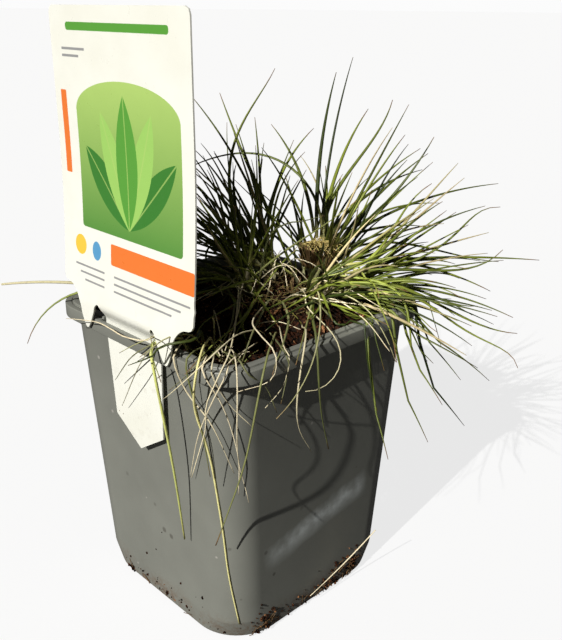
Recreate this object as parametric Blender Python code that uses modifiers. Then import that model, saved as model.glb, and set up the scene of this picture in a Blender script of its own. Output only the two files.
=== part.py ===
"""A potted bearskin fescue: a square pot, its soil, a push-in plant label and a tuft of needle leaves.

The pot stands on z = 0 with its centre on the origin. The label hangs on the -Y side.
Sizes below are in millimetres and turn into metres where a mesh is made.
"""
import math
import random
from collections import namedtuple

import bmesh
import bpy
from mathutils import Vector, kdtree, noise

MM = 0.001
GAP = 0.3

# Pot: a thin tapered square with round corners and a turned-down rim.
POT_HEIGHT = 102.0
RIM_HALF = 45.0
RIM_CORNER = 13.0
SKIRT_FOOT_Z = 97.2
LEDGE_Z = 101.5
LEDGE_UNDERSIDE_Z = 100.3
BEAD_OUTER_HALF = 42.7
WALL = 1.2
WALL_TOP_HALF = 41.4
WALL_TOP_CORNER = 10.5
BASE_HALF = 37.0
BASE_CORNER = 12.5
FOOT_CORNER = 17.5
FOOT_BEVEL_Z = 8.0
FLOOR = 1.3
FLOOR_HALF = 34.8
CHANNEL_Z = 3.0
POT_CORNER_STEPS = 6
MIDDLE_HOLE = (23.0, 3.5)
CORNER_HOLE = (21.5, 4.0)
HOLE_SIDES = 12
HOLE_CUT_DEPTH = 12.0

# Slot through the rim for the label's tongue.
SLOT_HALF_WIDTH = 16.0
SLOT_Y = (-43.9, -42.0)
SLOT_Z = (98.0, 105.0)

# Label: a bent card, with a tongue behind the rim and a prong on each side in front of it.
LABEL_THICKNESS = 0.5
LABEL_TOP_Z = 193.0
CARD_Y = -42.9
BEND_START_Z = 160.0
BEND_LENGTH = 48.0
BEND_DEPTH = 2.4
NECK_TOP_Z = 107.4
NECK_FOOT_Z = 101.9
TONGUE_Y = -42.95
TONGUE_TIP_Z = 61.8
TONGUE_TIP_Y = -42.3
NOTCH_X = 14.8
LABEL_HALF_WIDTH = 32.6
HALF_LABEL = [
    (30.6, LABEL_TOP_Z), (32.0, 192.4), (32.5, 191.0), (LABEL_HALF_WIDTH, 113.2), (31.4, 111.8),
    (28.0, 110.9), (25.3, 108.6), (23.5, 105.2), (22.8, 102.0), (20.9, 98.5), (19.2, 99.3),
    (16.8, 103.4), (15.5, 106.3), (14.2, NECK_TOP_Z), (13.2, 106.9), (12.9, 105.3), (13.5, 103.0),
    (14.2, 100.5), (12.4, 70.0),
]
# Heights at which the flat outline is cut across, so that it can bend there.
BEND_LEVELS = [BEND_START_Z, 150, 140, 130, 121, 115, 110, NECK_TOP_Z, 106, 104.7, 103.3, NECK_FOOT_Z]

# Soil: level at the rim, a mound under the tuft.
SOIL_BOTTOM_Z = 4.6
SOIL_EDGE_Z = 95.6
MOUND_TOP_Z = 101.0
SOIL_LUMP = 1.3
SOIL_RINGS = 5
SOIL_CORNER_STEPS = 8
SOIL_LUMPS_PER_MM = 0.16
MOUND_MARGIN = 1.5
MOUND_FALL = 24.0

# Crown: the low dome of old leaf bases that the leaves grow from, longer towards the +X +Y corner.
CROWN = Vector((4.0, 21.0, MOUND_TOP_Z + GAP))
CROWN_HALF_LONG = 19.0
CROWN_HALF_WIDE = 15.0
CROWN_HEIGHT = 14.0
CROWN_TURN = math.radians(45)
CROWN_LUMP = 0.05

# Locks: bundles of needles fused to the crown, which carry the tuft's outline.
# Headings are degrees from +X towards +Y. Lift is how high on the dome a lock starts and rise how
# steeply it leaves, both in degrees. Length and droop, how far its tip sags, are in millimetres.
Locks = namedtuple("Locks", "count headings lift rise length droop")
LOCK_GROUPS = [
    Locks(16, (0, 360), (56, 80), (60, 84), (46, 62), (0, 4)),
    Locks(22, (0, 360), (26, 54), (36, 60), (44, 60), (3, 11)),
    Locks(16, (-15, 200), (10, 26), (14, 34), (42, 58), (8, 18)),
    Locks(12, (15, 80), (8, 20), (8, 20), (44, 60), (12, 22)),
    Locks(8, (200, 345), (10, 26), (24, 40), (27, 38), (5, 12)),
]
LOCK_SPREAD = 0.618
LOCK_WANDER = 9.0
LOCK_ROOT_DEPTH = 0.75
LOCK_ROOT_RADIUS = 1.6
LOCK_TIP_RADIUS = 0.45
LOCK_STEPS = 5
LOCK_TRIES = 60
LOCK_SEED = 11

# Single leaves that stand out from the tuft.
LEAF_RADIUS = 0.55
LEAF_ROOM = GAP + 0.15
FOOT_RISE = 1.7
FOOT_SLANT = 0.5
NEAR_CROWN = 1.6
LEAF_TIP_SHARE = 0.45
LEAF_STEP = 8.0
NUDGE_TRIES = 120
NUDGE_MOST = 5.0
NUDGE_SEED = 5
SAMPLE_STEP = 0.5
SAMPLE_SLACK = 0.55

GREEN_LEAVES = [
    [(6, 31, 118), (2, 40, 135), (-3, 47, 153), (-6, 56, 170), (-6, 61, 176)],
    [(4, 32, 118), (-4, 41, 132), (-11, 50, 148), (-17, 60, 163), (-19, 66, 170)],
    [(-13, 10, 108), (-20, 14, 147), (-15, 20, 161), (-10, 25, 174)],
    [(-4, 17, 119), (-13, 15, 138), (-22, 11, 152), (-32, 7, 165)],
    [(-6, 22, 120), (-20, 26, 135), (-32, 27, 147), (-46, 32, 163)],
    [(7, 32, 119), (-2, 34, 135), (-13, 31, 142), (-25, 24, 144), (-40, 13, 140), (-45, 8, 136)],
    [(-9, 19, 114), (-19, 26, 132), (-25, 32, 145), (-32, 35, 155)],
    [(1, 34, 119), (-14, 42, 138), (-24, 43, 145), (-32, 45, 152)],
    [(-11, 22, 114), (-20, 36, 133), (-23, 49, 143), (-24, 59, 150)],
    [(4, 33, 118), (-3, 49, 135), (-9, 63, 146), (-12, 77, 157)],
    [(7, 30, 119), (3, 45, 136), (4, 60, 149), (4, 72, 161)],
    [(8, 33, 116), (4, 55, 130), (7, 74, 138), (7, 84, 144)],
    [(13, 27, 114), (21, 41, 126), (28, 52, 140), (31, 59, 153)],
    [(9, 36, 113), (5, 60, 127), (7, 83, 137), (8, 92, 143)],
    [(2, 36, 114), (2, 60, 128), (4, 80, 133), (7, 92, 135)],
    [(17, 26, 108), (26, 34, 117), (34, 41, 131), (40, 45, 142)],
    [(10, 35, 115), (19, 58, 127), (29, 76, 131), (41, 92, 135)],
    [(7, 38, 113), (6, 60, 122), (12, 80, 123), (16, 92, 123)],
    [(0, 38, 112), (8, 58, 117), (12, 72, 117), (14, 80, 115)],
    [(17, 20, 106), (30, 43, 112), (40, 57, 118), (47, 68, 125), (50, 73, 128)],
    [(15, 31, 109), (27, 50, 111), (38, 64, 111), (50, 79, 110), (59, 91, 109)],
    [(11, 37, 112), (16, 53, 115), (28, 72, 110), (42, 91, 105)],
    [(23, 30, 108), (34, 42, 110), (45, 52, 111), (52, 59, 115), (58, 66, 118)],
    [(13, 35, 109), (21, 49, 111), (32, 62, 106), (47, 79, 98)],
    [(18, 29, 106), (30, 44, 107), (41, 53, 102), (51, 62, 100)],
    [(19, 29, 104), (29, 38, 105), (43, 48, 104), (54, 56, 99), (63, 62, 96)],
    [(24, 27, 107), (31, 33, 107), (40, 40, 106), (50, 47, 100), (61, 55, 94), (69, 61, 93)],
    [(19, 21, 105), (28, 29, 105), (42, 37, 105), (56, 43, 96), (68, 48, 89), (78, 52, 83)],
    [(20, 26, 108), (31, 30, 109), (43, 31, 106), (48, 30, 99), (53, 29, 88)],
    [(17, 15, 107), (22, 25, 111), (30, 30, 112), (38, 37, 118)],
    [(24, -36, 108), (26, -43, 110), (25, -49, 107), (21, -53, 103), (14, -56, 98)],
    [(-15, -21, 101), (-31, -36, 106), (-37, -43, 105), (-41, -52, 95), (-42, -58, 86)],
]
DRY_LEAVES = [
    [(17, -37, 102), (15.3, -43, 103.2), (15.5, -47, 103), (18, -48.5, 96), (21, -48, 84), (22, -45, 63),
     (19, -42, 37)],
    [(11.5, -36, 108), (14.2, -43, 105.7), (13.5, -48, 105.6), (7, -49, 105.3), (-10, -48.5, 103),
     (-28, -48.5, 99)],
    [(18, -27, 101), (32, -42, 105), (34.6, -47, 99), (32, -45.5, 90), (32.4, -42.2, 75),
     (34.1, -39, 48), (34.8, -36.6, 29), (36.1, -33.2, 8)],
    [(-4, 4, 106), (23, -22, 106), (41, -41, 106), (41, -48, 96), (40, -48, 88), (37, -51, 72)],
    [(27, -9, 101), (46, -31, 105), (49, -37, 96), (47, -40, 77), (43, -42, 62), (38, -44, 46)],
    [(22, -24, 101), (42, -40, 105), (46, -43, 92), (45, -41, 73), (46, -37, 61)],
    [(26, -14, 102), (35, -35, 108), (41, -45, 108), (36, -51, 101), (28, -53, 93)],
    [(12, 4, 103), (33, -20, 105), (47, -30, 105), (49, -35, 101), (47, -43, 98)],
    [(29, 0, 101), (44, -14, 105), (48, -20, 98), (48, -21, 83), (46, -13, 68)],
    [(22, 14, 107), (41, -5, 110), (50, -16, 102), (53, -25, 96), (54, -35, 91)],
    [(25, 6, 103), (43, -9, 106), (48, -13, 98), (48, -11, 82), (46, -5, 66)],
    [(16, 13, 105), (40, -4, 107), (49, -5, 100), (51, -10, 95), (50, -21, 93)],
    [(21, 17, 105), (33, 15, 108), (45, 15, 105), (51, 15, 98), (54, 15, 92)],
    [(-17, -13, 101), (-38, -37, 106), (-50, -49, 107), (-58, -55, 105)],
]

# A straw that clings to the foot of the pot.
STRAW = [(38.9, -4, 5), (40, 4, 8), (41.5, 12, 13), (43.5, 18, 18), (46, 21, 23)]
STRAW_RADIUS = 0.6


def clear_scene():
    for obj in list(bpy.data.objects):
        bpy.data.objects.remove(obj, do_unlink=True)


def collection(name):
    made = bpy.data.collections.new(name)
    bpy.context.scene.collection.children.link(made)
    return made


def material(name, colour, roughness):
    made = bpy.data.materials.new(name)
    made.use_nodes = True
    shader = made.node_tree.nodes["Principled BSDF"]
    shader.inputs["Base Color"].default_value = (*colour, 1.0)
    shader.inputs["Roughness"].default_value = roughness
    shader.inputs["Metallic"].default_value = 0.0
    return made


def object_from(name, bm, where, finish=None):
    """Turns a bmesh in millimetres into a mesh object in metres."""
    bmesh.ops.scale(bm, vec=(MM, MM, MM), verts=bm.verts)
    bmesh.ops.recalc_face_normals(bm, faces=bm.faces)
    mesh = bpy.data.meshes.new(name)
    bm.to_mesh(mesh)
    bm.free()
    obj = bpy.data.objects.new(name, mesh)
    where.objects.link(obj)
    if finish:
        mesh.materials.append(finish)
    return obj


def rounded_square(half, corner, z, steps):
    """Points round a square of this half width, counter-clockwise from the +X side, with round corners."""
    points = []
    for quarter in range(4):
        middle = math.radians(45 + 90 * quarter)
        reach = (half - corner) * math.sqrt(2)
        centre = Vector((math.cos(middle) * reach, math.sin(middle) * reach, z))
        for step in range(steps + 1):
            angle = math.radians(90 * quarter + 90 * step / steps)
            points.append(centre + Vector((math.cos(angle), math.sin(angle), 0)) * corner)
    return points


def loft(bm, loops):
    """Skins a stack of loops with the same number of points, and closes both ends."""
    rings = [[bm.verts.new(point) for point in loop] for loop in loops]
    for low, high in zip(rings, rings[1:]):
        for i in range(len(low)):
            j = (i + 1) % len(low)
            bm.faces.new((low[i], low[j], high[j], high[i]))
    bm.faces.new(rings[0])
    bm.faces.new(rings[-1])


def wall_half(z):
    return BASE_HALF + (WALL_TOP_HALF - BASE_HALF) * z / LEDGE_UNDERSIDE_Z


def wall_corner(z):
    """The radius of the corners. The last few millimetres above the ground draw them in."""
    if z < FOOT_BEVEL_Z:
        return FOOT_CORNER + (BASE_CORNER - FOOT_CORNER) * z / FOOT_BEVEL_Z
    share = (z - FOOT_BEVEL_Z) / (LEDGE_UNDERSIDE_Z - FOOT_BEVEL_Z)
    return BASE_CORNER + (WALL_TOP_CORNER - BASE_CORNER) * share


def inner_loop(z, inset, steps):
    return rounded_square(wall_half(z) - inset, wall_corner(z) - inset, z, steps)


def pot_loops():
    """The pot's section from the middle of its underside, out and up, over the rim and down inside."""
    steps = POT_CORNER_STEPS
    skirt_inner = RIM_HALF - WALL
    outside = [
        (15.0, 7.0, 0.0), (17.0, 8.0, CHANNEL_Z), (29.0, 13.0, CHANNEL_Z), (31.0, 14.0, 0.0),
        (BASE_HALF - 1.0, FOOT_CORNER - 1.0, 0.0), (wall_half(1.0), wall_corner(1.0), 1.0),
        (wall_half(FOOT_BEVEL_Z), BASE_CORNER, FOOT_BEVEL_Z),
        (WALL_TOP_HALF, WALL_TOP_CORNER, LEDGE_UNDERSIDE_Z),
        (skirt_inner, RIM_CORNER - WALL, LEDGE_UNDERSIDE_Z),
        (skirt_inner, RIM_CORNER - WALL, SKIRT_FOOT_Z), (RIM_HALF, RIM_CORNER, SKIRT_FOOT_Z),
        (RIM_HALF, RIM_CORNER, LEDGE_Z - 0.4), (RIM_HALF - 0.4, RIM_CORNER - 0.4, LEDGE_Z),
        (BEAD_OUTER_HALF + 0.2, 11.2, LEDGE_Z), (BEAD_OUTER_HALF, 11.0, POT_HEIGHT),
        (WALL_TOP_HALF - 0.5, 9.8, POT_HEIGHT), (WALL_TOP_HALF - WALL, 9.3, LEDGE_Z - 0.2),
    ]
    floor_corner = wall_corner(FLOOR) - (wall_half(FLOOR) - FLOOR_HALF)
    inside = [(FLOOR_HALF, floor_corner, FLOOR), (31.9, 14.3, FLOOR), (29.9, 13.4, CHANNEL_Z + FLOOR),
              (16.1, 7.6, CHANNEL_Z + FLOOR), (14.1, 6.6, FLOOR)]
    loops = [rounded_square(*section, steps) for section in outside]
    loops += [inner_loop(z, WALL, steps) for z in (FOOT_BEVEL_Z, FLOOR + 1.0)]
    loops += [rounded_square(*section, steps) for section in inside]
    return loops


def box_cutter(name, low, high, where):
    bm = bmesh.new()
    bmesh.ops.create_cube(bm, size=1.0)
    size = [b - a for a, b in zip(low, high)]
    bmesh.ops.scale(bm, vec=size, verts=bm.verts)
    bmesh.ops.translate(bm, vec=[(a + b) / 2 for a, b in zip(low, high)], verts=bm.verts)
    return helper(object_from(name, bm, where))


def hole_cutter(name, turn, reach, radius, where):
    """A plug through the pot's floor, placed by its turn round the middle and its distance from it."""
    x = math.cos(math.radians(turn)) * reach
    y = math.sin(math.radians(turn)) * reach
    bm = bmesh.new()
    bmesh.ops.create_cone(bm, cap_ends=True, segments=HOLE_SIDES, radius1=radius, radius2=radius,
                          depth=HOLE_CUT_DEPTH)
    bmesh.ops.translate(bm, vec=(x, y, CHANNEL_Z), verts=bm.verts)
    return helper(object_from(name, bm, where))


def helper(obj):
    obj.hide_render = True
    obj.display_type = "WIRE"
    return obj


def cut(obj, cutter):
    modifier = obj.modifiers.new(cutter.name, "BOOLEAN")
    modifier.operation = "DIFFERENCE"
    modifier.solver = "EXACT"
    modifier.object = cutter


def make_pot(parts, cutters):
    bm = bmesh.new()
    loft(bm, pot_loops())
    pot = object_from("pot", bm, parts, material("grey_plastic", (0.21, 0.215, 0.19), 0.5))
    low = (-SLOT_HALF_WIDTH, SLOT_Y[0], SLOT_Z[0])
    high = (SLOT_HALF_WIDTH, SLOT_Y[1], SLOT_Z[1])
    cut(pot, box_cutter("tongue_slot", low, high, cutters))
    for quarter in range(4):
        reach, radius = MIDDLE_HOLE
        cut(pot, hole_cutter(f"middle_hole_{quarter + 1}", 90 * quarter, reach, radius, cutters))
        reach, radius = CORNER_HOLE
        reach *= math.sqrt(2)
        cut(pot, hole_cutter(f"corner_hole_{quarter + 1}", 45 + 90 * quarter, reach, radius, cutters))
    return pot


def eased(share):
    """0 to 1 with a level start and end."""
    share = min(1.0, max(0.0, share))
    return share * share * (3 - 2 * share)


def card_y(z):
    return CARD_Y - BEND_DEPTH * (max(0.0, BEND_START_Z - z) / BEND_LENGTH) ** 2


def label_y(x, z):
    """How far out the label's middle surface stands, at a place across and up."""
    if abs(x) > NOTCH_X or z >= NECK_TOP_Z:
        return max(card_y(z), card_y(NECK_TOP_Z) - 0.1)
    if z >= NECK_FOOT_Z:
        share = eased((NECK_TOP_Z - z) / (NECK_TOP_Z - NECK_FOOT_Z))
        return card_y(NECK_TOP_Z) + (TONGUE_Y - card_y(NECK_TOP_Z)) * share
    return TONGUE_Y + (TONGUE_TIP_Y - TONGUE_Y) * (NECK_FOOT_Z - z) / (NECK_FOOT_Z - TONGUE_TIP_Z)


def make_label(parts):
    """A flat outline, cut across where it bends, moved to its bent shape and given its thickness."""
    bm = bmesh.new()
    outline = HALF_LABEL + [(0.0, TONGUE_TIP_Z)] + [(-x, z) for x, z in reversed(HALF_LABEL)]
    bm.faces.new([bm.verts.new((x, 0, z)) for x, z in outline])
    bmesh.ops.triangulate(bm, faces=bm.faces)
    for z in BEND_LEVELS:
        everything = list(bm.verts) + list(bm.edges) + list(bm.faces)
        bmesh.ops.bisect_plane(bm, geom=everything, dist=0.0001, plane_co=(0, 0, z), plane_no=(0, 0, 1))
    bmesh.ops.triangulate(bm, faces=bm.faces)
    for vert in bm.verts:
        vert.co.y = label_y(vert.co.x, vert.co.z)
    label = object_from("label", bm, parts, material("white_card", (0.86, 0.86, 0.82), 0.45))
    solidify = label.modifiers.new("thickness", "SOLIDIFY")
    solidify.thickness = LABEL_THICKNESS * MM
    solidify.offset = 0
    return label


def soil_height(x, y):
    """The soil's top: a mound under the crown that falls off to the rim, with lumps."""
    away = math.hypot(x - CROWN.x, y - CROWN.y)
    share = eased((away - CROWN_HALF_LONG - MOUND_MARGIN) / MOUND_FALL)
    lump = noise.noise(Vector((x * SOIL_LUMPS_PER_MM, y * SOIL_LUMPS_PER_MM, 3.7)))
    return MOUND_TOP_Z + (SOIL_EDGE_Z - MOUND_TOP_Z) * share + lump * SOIL_LUMP * min(1.0, share * 4)


def make_soil(parts):
    steps = SOIL_CORNER_STEPS
    inset = WALL + GAP
    edge = inner_loop(SOIL_EDGE_Z - 1.5, inset, steps)
    loops = [inner_loop(SOIL_BOTTOM_Z, inset, steps), edge]
    centre = Vector((CROWN.x, CROWN.y, 0))
    mound = CROWN_HALF_LONG + MOUND_MARGIN
    for ring in range(SOIL_RINGS):
        share = 1 - ring / (SOIL_RINGS - 1)
        loop = []
        for point in edge:
            out = Vector((point.x, point.y, 0)) - centre
            place = centre + out.normalized() * (mound + (out.length - GAP - mound) * share)
            loop.append(Vector((place.x, place.y, soil_height(place.x, place.y))))
        loops.append(loop)
    bm = bmesh.new()
    loft(bm, loops)
    return object_from("soil", bm, parts, material("peat", (0.035, 0.022, 0.014), 0.95))


def crown_axes():
    along = Vector((math.cos(CROWN_TURN), math.sin(CROWN_TURN), 0))
    across = Vector((-math.sin(CROWN_TURN), math.cos(CROWN_TURN), 0))
    return along, across


def crown_share(point):
    """1 on the crown's surface, less inside it and more outside."""
    along, across = crown_axes()
    away = point - CROWN
    parts = (away.dot(along) / CROWN_HALF_LONG, away.dot(across) / CROWN_HALF_WIDE, away.z / CROWN_HEIGHT)
    return math.sqrt(sum(part * part for part in parts))


def crown_point(turn, lift, share):
    """A place in the crown, by its turn round the middle and its lift from the soil, both in degrees."""
    along, across = crown_axes()
    flat = math.cos(math.radians(lift)) * share
    return (CROWN + along * (math.cos(math.radians(turn)) * CROWN_HALF_LONG * flat)
            + across * (math.sin(math.radians(turn)) * CROWN_HALF_WIDE * flat)
            + Vector((0, 0, math.sin(math.radians(lift)) * CROWN_HEIGHT * share)))


def make_dome(where):
    """A sphere pressed to the crown's oval, made lumpy and cut off flat where it meets the soil."""
    bm = bmesh.new()
    bmesh.ops.create_uvsphere(bm, u_segments=18, v_segments=10, radius=1.0)
    along, across = crown_axes()
    for vert in bm.verts:
        swell = 1 + CROWN_LUMP * noise.noise(vert.co * 3.1)
        co = vert.co * swell
        vert.co = CROWN + along * (co.x * CROWN_HALF_LONG) + across * (co.y * CROWN_HALF_WIDE)
        vert.co.z += co.z * CROWN_HEIGHT
    everything = list(bm.verts) + list(bm.edges) + list(bm.faces)
    cut_ring = bmesh.ops.bisect_plane(bm, geom=everything, plane_co=CROWN, plane_no=(0, 0, -1),
                                      clear_outer=True)
    edges = [item for item in cut_ring["geom_cut"] if isinstance(item, bmesh.types.BMEdge)]
    bmesh.ops.edgeloop_fill(bm, edges=edges)
    return object_from("crown", bm, where, material("needle_green", (0.075, 0.13, 0.025), 0.55))


def smooth_path(points, count):
    """Evenly spread points on a smooth curve through the given ones."""
    ends = [points[0] * 2 - points[1]] + list(points) + [points[-1] * 2 - points[-2]]
    fine = []
    for a, b, c, d in zip(ends, ends[1:], ends[2:], ends[3:]):
        for step in range(12):
            t = step / 12
            fine.append(0.5 * ((2 * b) + (c - a) * t + (2 * a - 5 * b + 4 * c - d) * t ** 2
                               + (3 * b - a - 3 * c + d) * t ** 3))
    fine.append(points[-1])
    lengths = [0.0]
    for a, b in zip(fine, fine[1:]):
        lengths.append(lengths[-1] + (b - a).length)
    path, at = [], 0
    for step in range(count):
        wanted = lengths[-1] * step / (count - 1)
        while at < len(lengths) - 2 and lengths[at + 1] < wanted:
            at += 1
        share = (wanted - lengths[at]) / max(lengths[at + 1] - lengths[at], 1e-9)
        path.append(fine[at].lerp(fine[at + 1], share))
    return path


def path_length(points):
    return sum((b - a).length for a, b in zip(points, points[1:]))


def taper(share, thick, thin):
    """A leaf keeps its thickness for most of its length and draws in to a point."""
    return thin + (thick - thin) * (1 - share ** 2.5)


def tube(name, path, thick, thin, where, finish):
    """A thin tapered tube along a path: a bevelled curve, made a mesh with its caps welded."""
    curve = bpy.data.curves.new(name, "CURVE")
    curve.dimensions = "3D"
    curve.bevel_depth = MM
    curve.bevel_resolution = 0
    curve.use_fill_caps = True
    spline = curve.splines.new("POLY")
    spline.points.add(len(path) - 1)
    for i, place in enumerate(path):
        spline.points[i].co = (*(place * MM), 1)
        spline.points[i].radius = taper(i / (len(path) - 1), thick, thin)
    guide = bpy.data.objects.new(name + "_guide", curve)
    where.objects.link(guide)
    graph = bpy.context.evaluated_depsgraph_get()
    mesh = bpy.data.meshes.new_from_object(guide.evaluated_get(graph))
    mesh.name = name
    bpy.data.objects.remove(guide, do_unlink=True)
    bpy.data.curves.remove(curve)
    bm = bmesh.new()
    bm.from_mesh(mesh)
    bmesh.ops.remove_doubles(bm, verts=bm.verts, dist=0.00001)
    bmesh.ops.recalc_face_normals(bm, faces=bm.faces)
    bm.to_mesh(mesh)
    bm.free()
    mesh.materials.clear()
    mesh.materials.append(finish)
    obj = bpy.data.objects.new(name, mesh)
    where.objects.link(obj)
    return obj


def samples(path, thick, thin):
    """Places every millimetre or so along a tube's own straight stretches, with the tube's radius there."""
    found = []
    last = len(path) - 1
    for i, (a, b) in enumerate(zip(path, path[1:])):
        pieces = max(1, math.ceil((b - a).length))
        for k in range(pieces):
            share = k / pieces
            found.append((a.lerp(b, share), taper((i + share) / last, thick, thin)))
    found.append((path[-1], thin))
    return found


def square_reach(x, y, half, corner):
    """How far out a place is, measured as the half width of the round-cornered square it would lie on."""
    x, y = abs(x), abs(y)
    middle = half - corner
    if x > middle and y > middle:
        return middle + math.hypot(x - middle, y - middle)
    return max(x, y)


def touches_pot(place, radius):
    """Whether a tube of this radius would come too near the pot, the soil or the floor."""
    room = radius + LEAF_ROOM
    if place.z < room:
        return True
    reach = square_reach(place.x, place.y, RIM_HALF, RIM_CORNER)
    if place.z > POT_HEIGHT + room or reach > RIM_HALF + room:
        return False
    if place.z < SKIRT_FOOT_Z - room:
        wall = wall_half(place.z)
        if square_reach(place.x, place.y, wall, wall_corner(place.z)) > wall + room:
            return False
    if reach > WALL_TOP_HALF - WALL - room:
        return True
    return place.z < soil_height(place.x, place.y) + room


def in_label(x, z):
    """Whether a place on the flat card is inside its outline: an odd count of crossings above it."""
    outline = [(0.0, LABEL_TOP_Z)] + HALF_LABEL + [(0.0, TONGUE_TIP_Z)]
    crossings = 0
    for (x1, z1), (x2, z2) in zip(outline, outline[1:]):
        if (x1 > abs(x)) != (x2 > abs(x)) and z < z1 + (z2 - z1) * (abs(x) - x1) / (x2 - x1):
            crossings += 1
    return crossings % 2 == 1


def label_samples():
    """Places half a millimetre apart over the label, to keep the leaves clear of it."""
    found = []
    columns = math.floor(LABEL_HALF_WIDTH / SAMPLE_STEP)
    for row in range(math.ceil(TONGUE_TIP_Z / SAMPLE_STEP), math.floor(LABEL_TOP_Z / SAMPLE_STEP)):
        for column in range(-columns, columns + 1):
            x, z = column * SAMPLE_STEP, row * SAMPLE_STEP
            if in_label(x, z):
                found.append((Vector((x, label_y(x, z), z)), LABEL_THICKNESS / 2))
    return found


def near_tree(items):
    tree = kdtree.KDTree(len(items))
    for index, (place, _) in enumerate(items):
        tree.insert(place, index)
    tree.balance()
    return tree


class Leaves:
    """The label and every tube placed so far, so that a new tube can be kept clear of them."""

    def __init__(self):
        label = label_samples()
        self.groups = {"label": (label, near_tree(label))}

    def clear(self, tube_samples, own_room):
        """Whether a tube keeps its gap to all of them, and stays out of the crown by own_room."""
        for place, radius in tube_samples:
            if crown_share(place) < own_room or touches_pot(place, radius):
                return False
            for items, tree in self.groups.values():
                for _, index, distance in tree.find_range(place, radius + LOCK_ROOT_RADIUS + 1.0):
                    if distance < math.hypot(radius + items[index][1] + GAP, SAMPLE_SLACK):
                        return False
        return True

    def add(self, tube_samples):
        placed = self.groups.get("tubes", ([], None))[0] + tube_samples
        self.groups["tubes"] = (placed, near_tree(placed))


def nudged(points, amount, chance):
    """The same route moved a little sideways, more in its middle than at its tip."""
    moved = []
    last = len(points) - 1
    for i, point in enumerate(points):
        share = 0.5 if i == last else 1.0
        moved.append(point + Vector([chance.uniform(-1, 1) * amount * share for _ in range(3)]))
    return moved


def with_foot(route):
    """A leaf that starts away from the crown gets a foot just above the soil, below and behind its start."""
    start = route[0]
    if crown_share(start) < NEAR_CROWN:
        return route
    drop = start.z - soil_height(start.x, start.y) - FOOT_RISE
    back = (start - route[1]) * Vector((1, 1, 0))
    foot = start + back.normalized() * drop * FOOT_SLANT
    foot.z = soil_height(foot.x, foot.y) + FOOT_RISE
    return [foot] + route


def place_leaf(name, points, leaves, chance, where, finish):
    """Makes a leaf along its route, nudged as little as it takes to clear everything placed before it."""
    route = with_foot([Vector(point) for point in points])
    count = max(6, round(path_length(route) / LEAF_STEP) + 1)
    thin = LEAF_RADIUS * LEAF_TIP_SHARE
    for attempt in range(NUDGE_TRIES):
        tried = nudged(route, NUDGE_MOST * attempt / NUDGE_TRIES, chance) if attempt else route
        path = smooth_path(tried, count)
        found = samples(path, LEAF_RADIUS, thin)
        if leaves.clear(found, 1.1):
            leaves.add(found)
            return tube(name, path, LEAF_RADIUS, thin, where, finish)
    print("no clear place for", name)
    return None


def lock_route(locks, number, chance):
    """One lock's route: from inside the dome out through its skin, off at its rise, and down at its tip."""
    low, high = locks.headings
    heading = low + (high - low) * ((number + 0.5) * LOCK_SPREAD % 1.0)
    heading += chance.uniform(-LOCK_WANDER, LOCK_WANDER)
    lift = chance.uniform(*locks.lift)
    turn = heading - math.degrees(CROWN_TURN)
    root = crown_point(turn, lift, LOCK_ROOT_DEPTH)
    skin = crown_point(turn, lift, 1.0)
    out = math.radians(heading)
    rise = math.radians(chance.uniform(*locks.rise))
    way = Vector((math.cos(out) * math.cos(rise), math.sin(out) * math.cos(rise), math.sin(rise)))
    way *= chance.uniform(*locks.length)
    tip = skin + way - Vector((0, 0, chance.uniform(*locks.droop)))
    return [root, skin, skin + way * 0.5, tip]


def make_crown(parts, leaves):
    """The dome, with every lock that finds room joined to it."""
    chance = random.Random(LOCK_SEED)
    crown = make_dome(parts)
    finish = crown.data.materials[0]
    fused = 0
    wanted = [(locks, number) for locks in LOCK_GROUPS for number in range(locks.count)]
    for locks, number in wanted:
        for _ in range(LOCK_TRIES):
            path = smooth_path(lock_route(locks, number, chance), LOCK_STEPS + 1)
            found = samples(path, LOCK_ROOT_RADIUS, LOCK_TIP_RADIUS)
            outside = [item for item in found if crown_share(item[0]) > 0.99]
            if leaves.clear(outside, 0.0):
                break
        else:
            continue
        fuse(crown, tube("lock", path, LOCK_ROOT_RADIUS, LOCK_TIP_RADIUS, parts, finish))
        fused += 1
    print(fused, "locks fused to the crown")


def fuse(body, piece):
    """Joins piece to body and leaves one plain mesh object with the body's name."""
    modifier = body.modifiers.new("join", "BOOLEAN")
    modifier.operation = "UNION"
    modifier.solver = "EXACT"
    modifier.object = piece
    graph = bpy.context.evaluated_depsgraph_get()
    joined = bpy.data.meshes.new_from_object(body.evaluated_get(graph))
    body.modifiers.clear()
    body.data = joined
    bpy.data.objects.remove(piece, do_unlink=True)


def main():
    clear_scene()
    parts = collection("potted_bearskin_fescue")
    cutters = collection("cutters")
    make_pot(parts, cutters)
    make_label(parts)
    make_soil(parts)

    green = material("leaf_green", (0.085, 0.15, 0.03), 0.5)
    dry = material("leaf_straw", (0.55, 0.45, 0.22), 0.6)
    leaves = Leaves()
    chance = random.Random(NUDGE_SEED)
    for number, points in enumerate(DRY_LEAVES, 1):
        place_leaf(f"dry_leaf_{number:02d}", points, leaves, chance, parts, dry)
    for number, points in enumerate(GREEN_LEAVES, 1):
        place_leaf(f"green_leaf_{number:02d}", points, leaves, chance, parts, green)
    make_crown(parts, leaves)

    straw = [Vector(point) for point in STRAW]
    tube("loose_straw", smooth_path(straw, 6), STRAW_RADIUS, STRAW_RADIUS * 0.6, parts, dry)


main()
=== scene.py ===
# %% [markdown]
# # A young pot of needle grass, dressed for its picture
# The solids arrive as a fixed frame: a square plastic pot, its peat, a plant label, the crown of
# the tuft and the single leaves that stand out from it. Here each of them gets its fine shape and
# its finish. The first cell loads the frame and keeps its box, which nothing may grow out of.

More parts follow.
